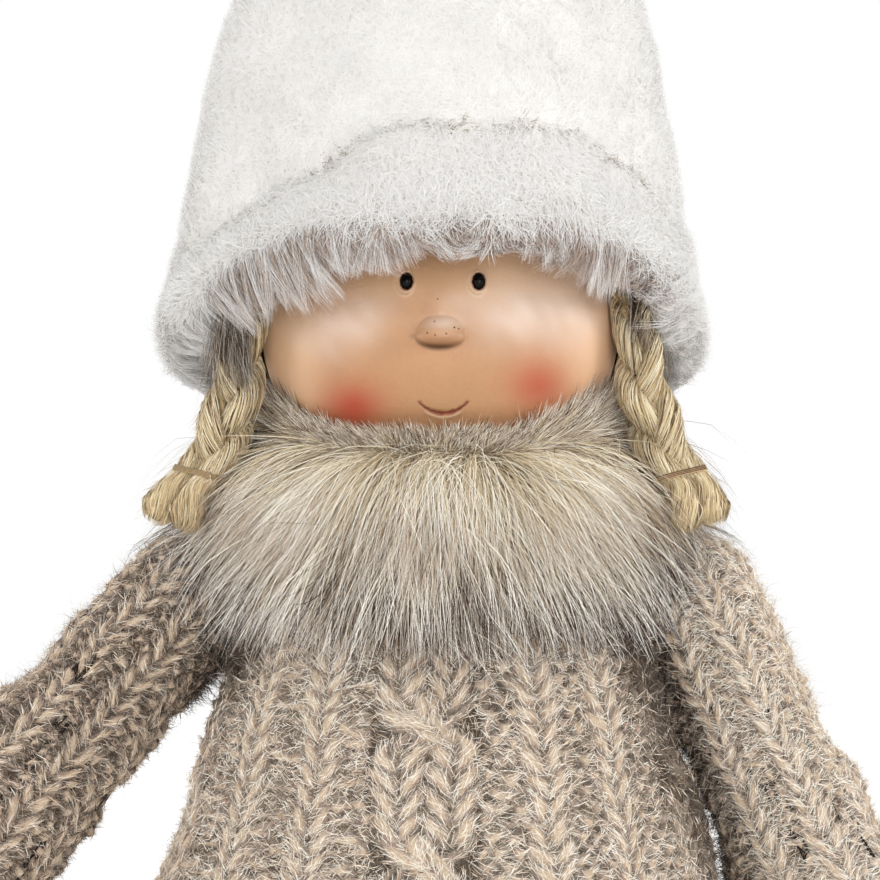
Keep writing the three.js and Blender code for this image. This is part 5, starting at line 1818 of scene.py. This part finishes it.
def make_tie(name, body):
    """Thread wound three times round the cords where the plait ends."""
    t = np.linspace(0, 3 * TURN, 160)
    line = []
    for angle, part in zip(t, np.linspace(0, 1, len(t))):
        along = TIE_AT + 0.35 + (TIE_HEIGHT - 0.7) * part
        heading = np.array([math.cos(angle), math.sin(angle), 0])
        reach = max(float(cord_line(i, np.array(along), 0.0)[0][:2] @ heading[:2]) + CORD_RADIUS for i in range(3))
        line.append(heading * (reach + 0.35) + np.array([0, 0, -along]))
    parts = [tube_parts(placed_plait(np.array(line), name), np.full(len(t), 0.3), 8, np.array([0, 0, 1.0]))]
    dress(joined(f"thread_{name}", parts, plait_thread()), body, "thread", f"plait_{name}_tie")


# Underside, legs and boots
# Boot: heights of its sections, with the half width, half length and forward shift of each
BOOT_LEVELS = np.array([5.3, 10, 16.5, 23, 29.6, 42.5, 51.8])
BOOT_WIDE = np.array([17.3, 18, 17.9, 17.3, 16.7, 17.0, 17.0])
BOOT_LONG = np.array([32, 33, 32, 28, 21.8, 17.0, 17.0])
BOOT_AHEAD = np.array([6, 6, 6, 4, 1.2, 0, 0.0])
BOOT_INSIDE = 14.3
# Sole: half width and half length, and how much wider it is at each height
SOLE_WIDE = 18.1
SOLE_LONG = 33.1
SOLE_ROWS = ((0.0, 0.0), (0.9, 0.3), (1.8, 0.35), (3.4, 0.35), (4.2, 0.9), (5.0, 0.6))
# Boot cuff: radius and height round its section, of which the first part is the outside
BOOT_CUFF_OUTLINE = np.array([(17.6, 43.6), (20.6, 44.6), (21.9, 49.0), (21.3, 55.8), (18.2, 60.0), (15.2, 59.4),
                              (14.9, 52.9), (17.6, 52.6)])
BOOT_CUFF_OUTSIDE = 5
LEGGING_RADIUS = 13.7
LEG_FILLING_RADIUS = 10.9


def make_leg(name, side):
    shift = np.array([side * LEG_SPREAD, 0, 0])
    make_boot(name, shift)
    make_sole(name, shift)
    make_welt(name, shift)
    make_legging(name, shift)
    make_boot_cuff(name, shift)


def make_boot(name, shift):
    angles = round_angles(150)
    heights = np.linspace(BOOT_LEVELS[0], BOOT_LEVELS[-1], 110)[:, None]
    wide, long, ahead = (follow(heights, BOOT_LEVELS, values) for values in (BOOT_WIDE, BOOT_LONG, BOOT_AHEAD))
    rings = ring(heights, wide, long, angles, (0, -ahead))
    crease = np.exp(-(((heights - 30) / 7) ** 2)) * np.cos(angles)[None]
    folds = 0.45 * np.sin((rings[..., 2] + 2 * np.abs(rings[..., 0]) * 0.3) * 1.15) * np.maximum(crease, 0)
    toe = -0.35 * np.exp(-(((rings[..., 1] + 22) / 0.5) ** 2)) * (rings[..., 2] < 24)
    rings = rings + grid_normals(rings) * (folds + toe)[..., None]
    relief = np.clip(0.5 + folds * 1.2, 0, 1)
    inside = ring(np.array([[BOOT_LEVELS[-1]], [44], [36]]), BOOT_INSIDE, BOOT_INSIDE, angles)
    leather = shared_material("boot_hide", leather_material)
    piece = skin(f"boot_upper_{name}", np.concatenate([rings, inside]) + shift, leather, False, {"relief": relief})
    dress(piece, "torso", "boot_leather", f"boot_{name}")


def make_sole(name, shift):
    angles = round_angles(160)
    notch = 0.35 * (np.sin(angles * 40) > 0.2)
    sole = np.stack([ring(h, SOLE_WIDE + g - notch * (h < 3), SOLE_LONG + g - notch * (h < 3), angles, (0, -6))
                     for h, g in SOLE_ROWS])
    rubber = shared_material("rubber_sole", sole_material)
    dress(skin(f"sole_{name}", sole + shift, rubber), "torso", "sole", f"boot_sole_{name}")


def make_welt(name, shift):
    """Stitches that stand a little out of the groove between boot and sole."""
    parts = []
    s = np.linspace(0, 1, 5)
    arch = 0.5 * np.sin(s * TURN / 2)
    for a in np.linspace(0, TURN, 58, endpoint=False):
        stitch = ring(5.7 + arch, 18.0 + arch, 33.0 + arch, a + 0.055 * (s - 0.5), (0, -6))
        parts.append(tube_parts(stitch + shift, np.full(len(s), 0.32), 6))
    dress(joined(f"welt_stitches_{name}", parts, plait_thread()), "torso", "thread")


def make_legging(name, shift):
    angles = round_angles(182)
    rings = ring(np.linspace(34.3, 103, 110)[:, None], LEGGING_RADIUS, LEGGING_RADIUS, angles)
    yarn = over_rows(0.5 + 0.5 * np.cos(angles * 26), len(rings))
    rows = 0.5 + 0.5 * np.cos(TURN * (rings[..., 2] - 0.8 * np.abs(np.sin(angles * 13))) / 2.6)
    height = 0.55 * yarn**0.6 * (0.5 + 0.5 * rows)
    outer = rings + grid_normals(rings) * (height - 0.25)[..., None]
    shell = with_wall(outer, 2.0, 6) + shift
    relief = np.clip(height * 1.6, 0, 1)
    # The leggings' wool, with painted shade between the ribs and painted light on them
    wool = shared_material("legging_knit", knit_material, (78, 68, 60), (128, 115, 104), (160, 147, 136))
    dress(skin(f"legging_knit_{name}", shell, wool, True, {"relief": relief}), "torso", "felt", f"legging_{name}")
    fuzz(f"legging_fuzz_{name}", outer[60:] + shift, 3000, np.random.default_rng(101), "torso", "felt", (1.0, 2.4))
    low, high = node_box(f"leg_filling_{name}")
    heights = np.linspace(low[2] + 0.3, high[2] - 0.3, 24)[:, None]
    soft = ring(heights, LEG_FILLING_RADIUS, LEG_FILLING_RADIUS, round_angles(40))
    soft = soft + grid_normals(soft) * (0.25 * ripple(soft, 8, 103))[..., None]
    make_stuffing(f"leg_stuffing_{name}", soft + shift, "torso", f"leg_filling_{name}")


def make_boot_cuff(name, shift):
    rng = np.random.default_rng(111)
    angles = round_angles(80)
    radius, height = BOOT_CUFF_OUTLINE[:, :1], BOOT_CUFF_OUTLINE[:, 1:]
    backing = shared_material("plush_backing", backing_material)
    dress(skin(f"boot_cuff_backing_{name}", ring(height, radius, radius, angles) + shift, backing, True), "torso",
          "white_plush", f"boot_cuff_{name}")
    t, knots = np.linspace(0, 1, 24)[:, None], np.linspace(0, 1, BOOT_CUFF_OUTSIDE)
    radius, height = (follow(t, knots, values) for values in BOOT_CUFF_OUTLINE[:BOOT_CUFF_OUTSIDE].T)
    surface = ring(height, radius, radius, angles)
    roots, normals, _, _ = scatter(surface, BOOT_STRANDS, rng)
    random = rng.normal(size=roots.shape)
    finish = unit(normals * 0.4 + np.array([0, 0, -0.45]) + 0.45 * random)
    paths = strand_paths(roots + shift, unit(normals + 0.3 * random), finish, rng.uniform(3.5, 6.0, len(roots)), 5)
    paths = clump(paths, 2.5, 0.5, rng)
    fur(f"boot_pile_{name}", paths, normals, rng.uniform(0.12, 0.2, len(roots)), rng.random(len(roots)), rng,
        plush_pile(), "torso", "white_plush")


def make_hat_stuffing():
    soft = hat_surface(64, 40, 6.0)
    make_stuffing("hat_stuffing", soft[soft[:, 0, 2] > BROW_HEIGHT + 10], "head", "hat_filling")


def paint_kept_nodes():
    """Materials for the pieces that stay as the frame has them."""
    wood, felt = wood_material(), felt_material("panel_felt", (112, 100, 90), (146, 134, 122))
    paints = {"leg_dowel": wood, "neck_p": wood, "base_board": wood, "arm_wire": steel_material(), "base_panel": felt}
    for name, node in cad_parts.items():
        for start, material in paints.items():
            if name.startswith(start):
                node.data.materials.clear()
                node.data.materials.append(material)


# Stage
FLOOR_REACH = 4.0
AIM_HEIGHT = 260.0
# Lamps: place and size in millimetres, and power in watts
LAMPS = {
    "key": ((1080, -520, 560), 460, 5.2),
    "fill": ((-1080, -520, 460), 460, 4.2),
    "front": ((300, -1500, 400), 520, 5.6),
    "top": ((0, -250, 1200), 500, 1.1),
    "back": ((-300, 1400, 700), 520, 4.6),
}


def make_floor():
    """A pale floor that glows more with distance, so that it runs into the white surround."""
    corners = [(x * FLOOR_REACH, y * FLOOR_REACH, 0) for x, y in ((-1, -1), (1, -1), (1, 1), (-1, 1))]
    mesh = bpy.data.meshes.new("floor")
    mesh.from_pydata(corners, [], [(0, 1, 2, 3)])
    ground = Shader("floor_paint", 0.85, 0.0, 0.2)
    ground.colour(ground.ramp(ground.noise(60, 2), (0.3, (236, 235, 233)), (0.7, (240, 239, 237))))
    rays = ground.node("ShaderNodeLightPath").outputs
    seen = ground.math("MAXIMUM", rays["Is Camera Ray"], rays["Is Glossy Ray"])
    away = ground.node("ShaderNodeVectorMath", {"operation": "LENGTH"}, Vector=ground.place()).outputs["Value"]
    far = ground.math("MULTIPLY_ADD", ground.span(away, 0.5, 1.7), 0.5, 0.15)
    ground.set(Emission_Color=(1, 1, 1, 1), Emission_Strength=ground.math("MULTIPLY", seen, far))
    mesh.materials.append(ground.material)
    floor = bpy.data.objects.new("floor", mesh)
    bpy.context.scene.collection.objects.link(floor)


def make_surround():
    """A white surround that is dimmer as a light than it is to look at."""
    world = bpy.data.worlds.new("studio")
    bpy.context.scene.world = world
    world.use_nodes = True
    sky = NodeTree(world.node_tree)
    back = sky.tree.nodes["Background"].inputs
    rays = sky.node("ShaderNodeLightPath").outputs
    seen = sky.math("MAXIMUM", rays["Is Camera Ray"], rays["Is Transmission Ray"])
    seen = sky.math("MAXIMUM", seen, rays["Is Glossy Ray"])
    back["Color"].default_value = (1, 1, 1, 1)
    sky.feed(sky.node("ShaderNodeMapRange", Value=seen, To_Min=0.6, To_Max=1.0).outputs[0], back["Strength"])


def make_stage():
    bpy.context.scene.view_settings.view_transform = "Standard"
    make_floor()
    make_surround()
    for name, settings in LAMPS.items():
        softbox(name, *settings)


def softbox(name, place, size, power):
    """A square lamp at a place in millimetres, aimed at the doll's chest."""
    lamp = bpy.data.lights.new(name, "AREA")
    lamp.shape = "SQUARE"
    lamp.size = size * MM
    lamp.energy = power
    rig = bpy.data.objects.new(name, lamp)
    rig.location = Vector(to_frame(np.array(place, float)))
    target = Vector(to_frame(np.array([0, 0, AIM_HEIGHT])))
    rig.rotation_mode = "QUATERNION"
    rig.rotation_quaternion = (target - rig.location).to_track_quat("-Z", "Y")
    bpy.context.scene.collection.objects.link(rig)


def make_camera():
    data = bpy.data.cameras.new("camera")
    data.sensor_width = SENSOR
    data.lens = SENSOR * CAMERA_DISTANCE / (PHOTO_PIXELS / PIXELS_PER_MM)
    camera = bpy.data.objects.new("camera", data)
    camera.location = Vector(to_frame(np.array([0, -CAMERA_DISTANCE, CAMERA_HEIGHT])))
    camera.rotation_mode = "QUATERNION"
    camera.rotation_quaternion = Vector((0, 1, 0)).to_track_quat("-Z", "Y")
    data.clip_start, data.clip_end = 0.05, 20
    bpy.context.scene.collection.objects.link(camera)
    bpy.context.scene.camera = camera


make_camera()
make_stage()
make_head()
make_hat()
make_dress()
make_hat_stuffing()
make_collar()
make_hem()
make_arm("left", 1, 131)
make_arm("right", -1, 132)
make_plait("left", 141)
make_plait("right", 142)
make_leg("left", 1)
make_leg("right", -1)
paint_kept_nodes()
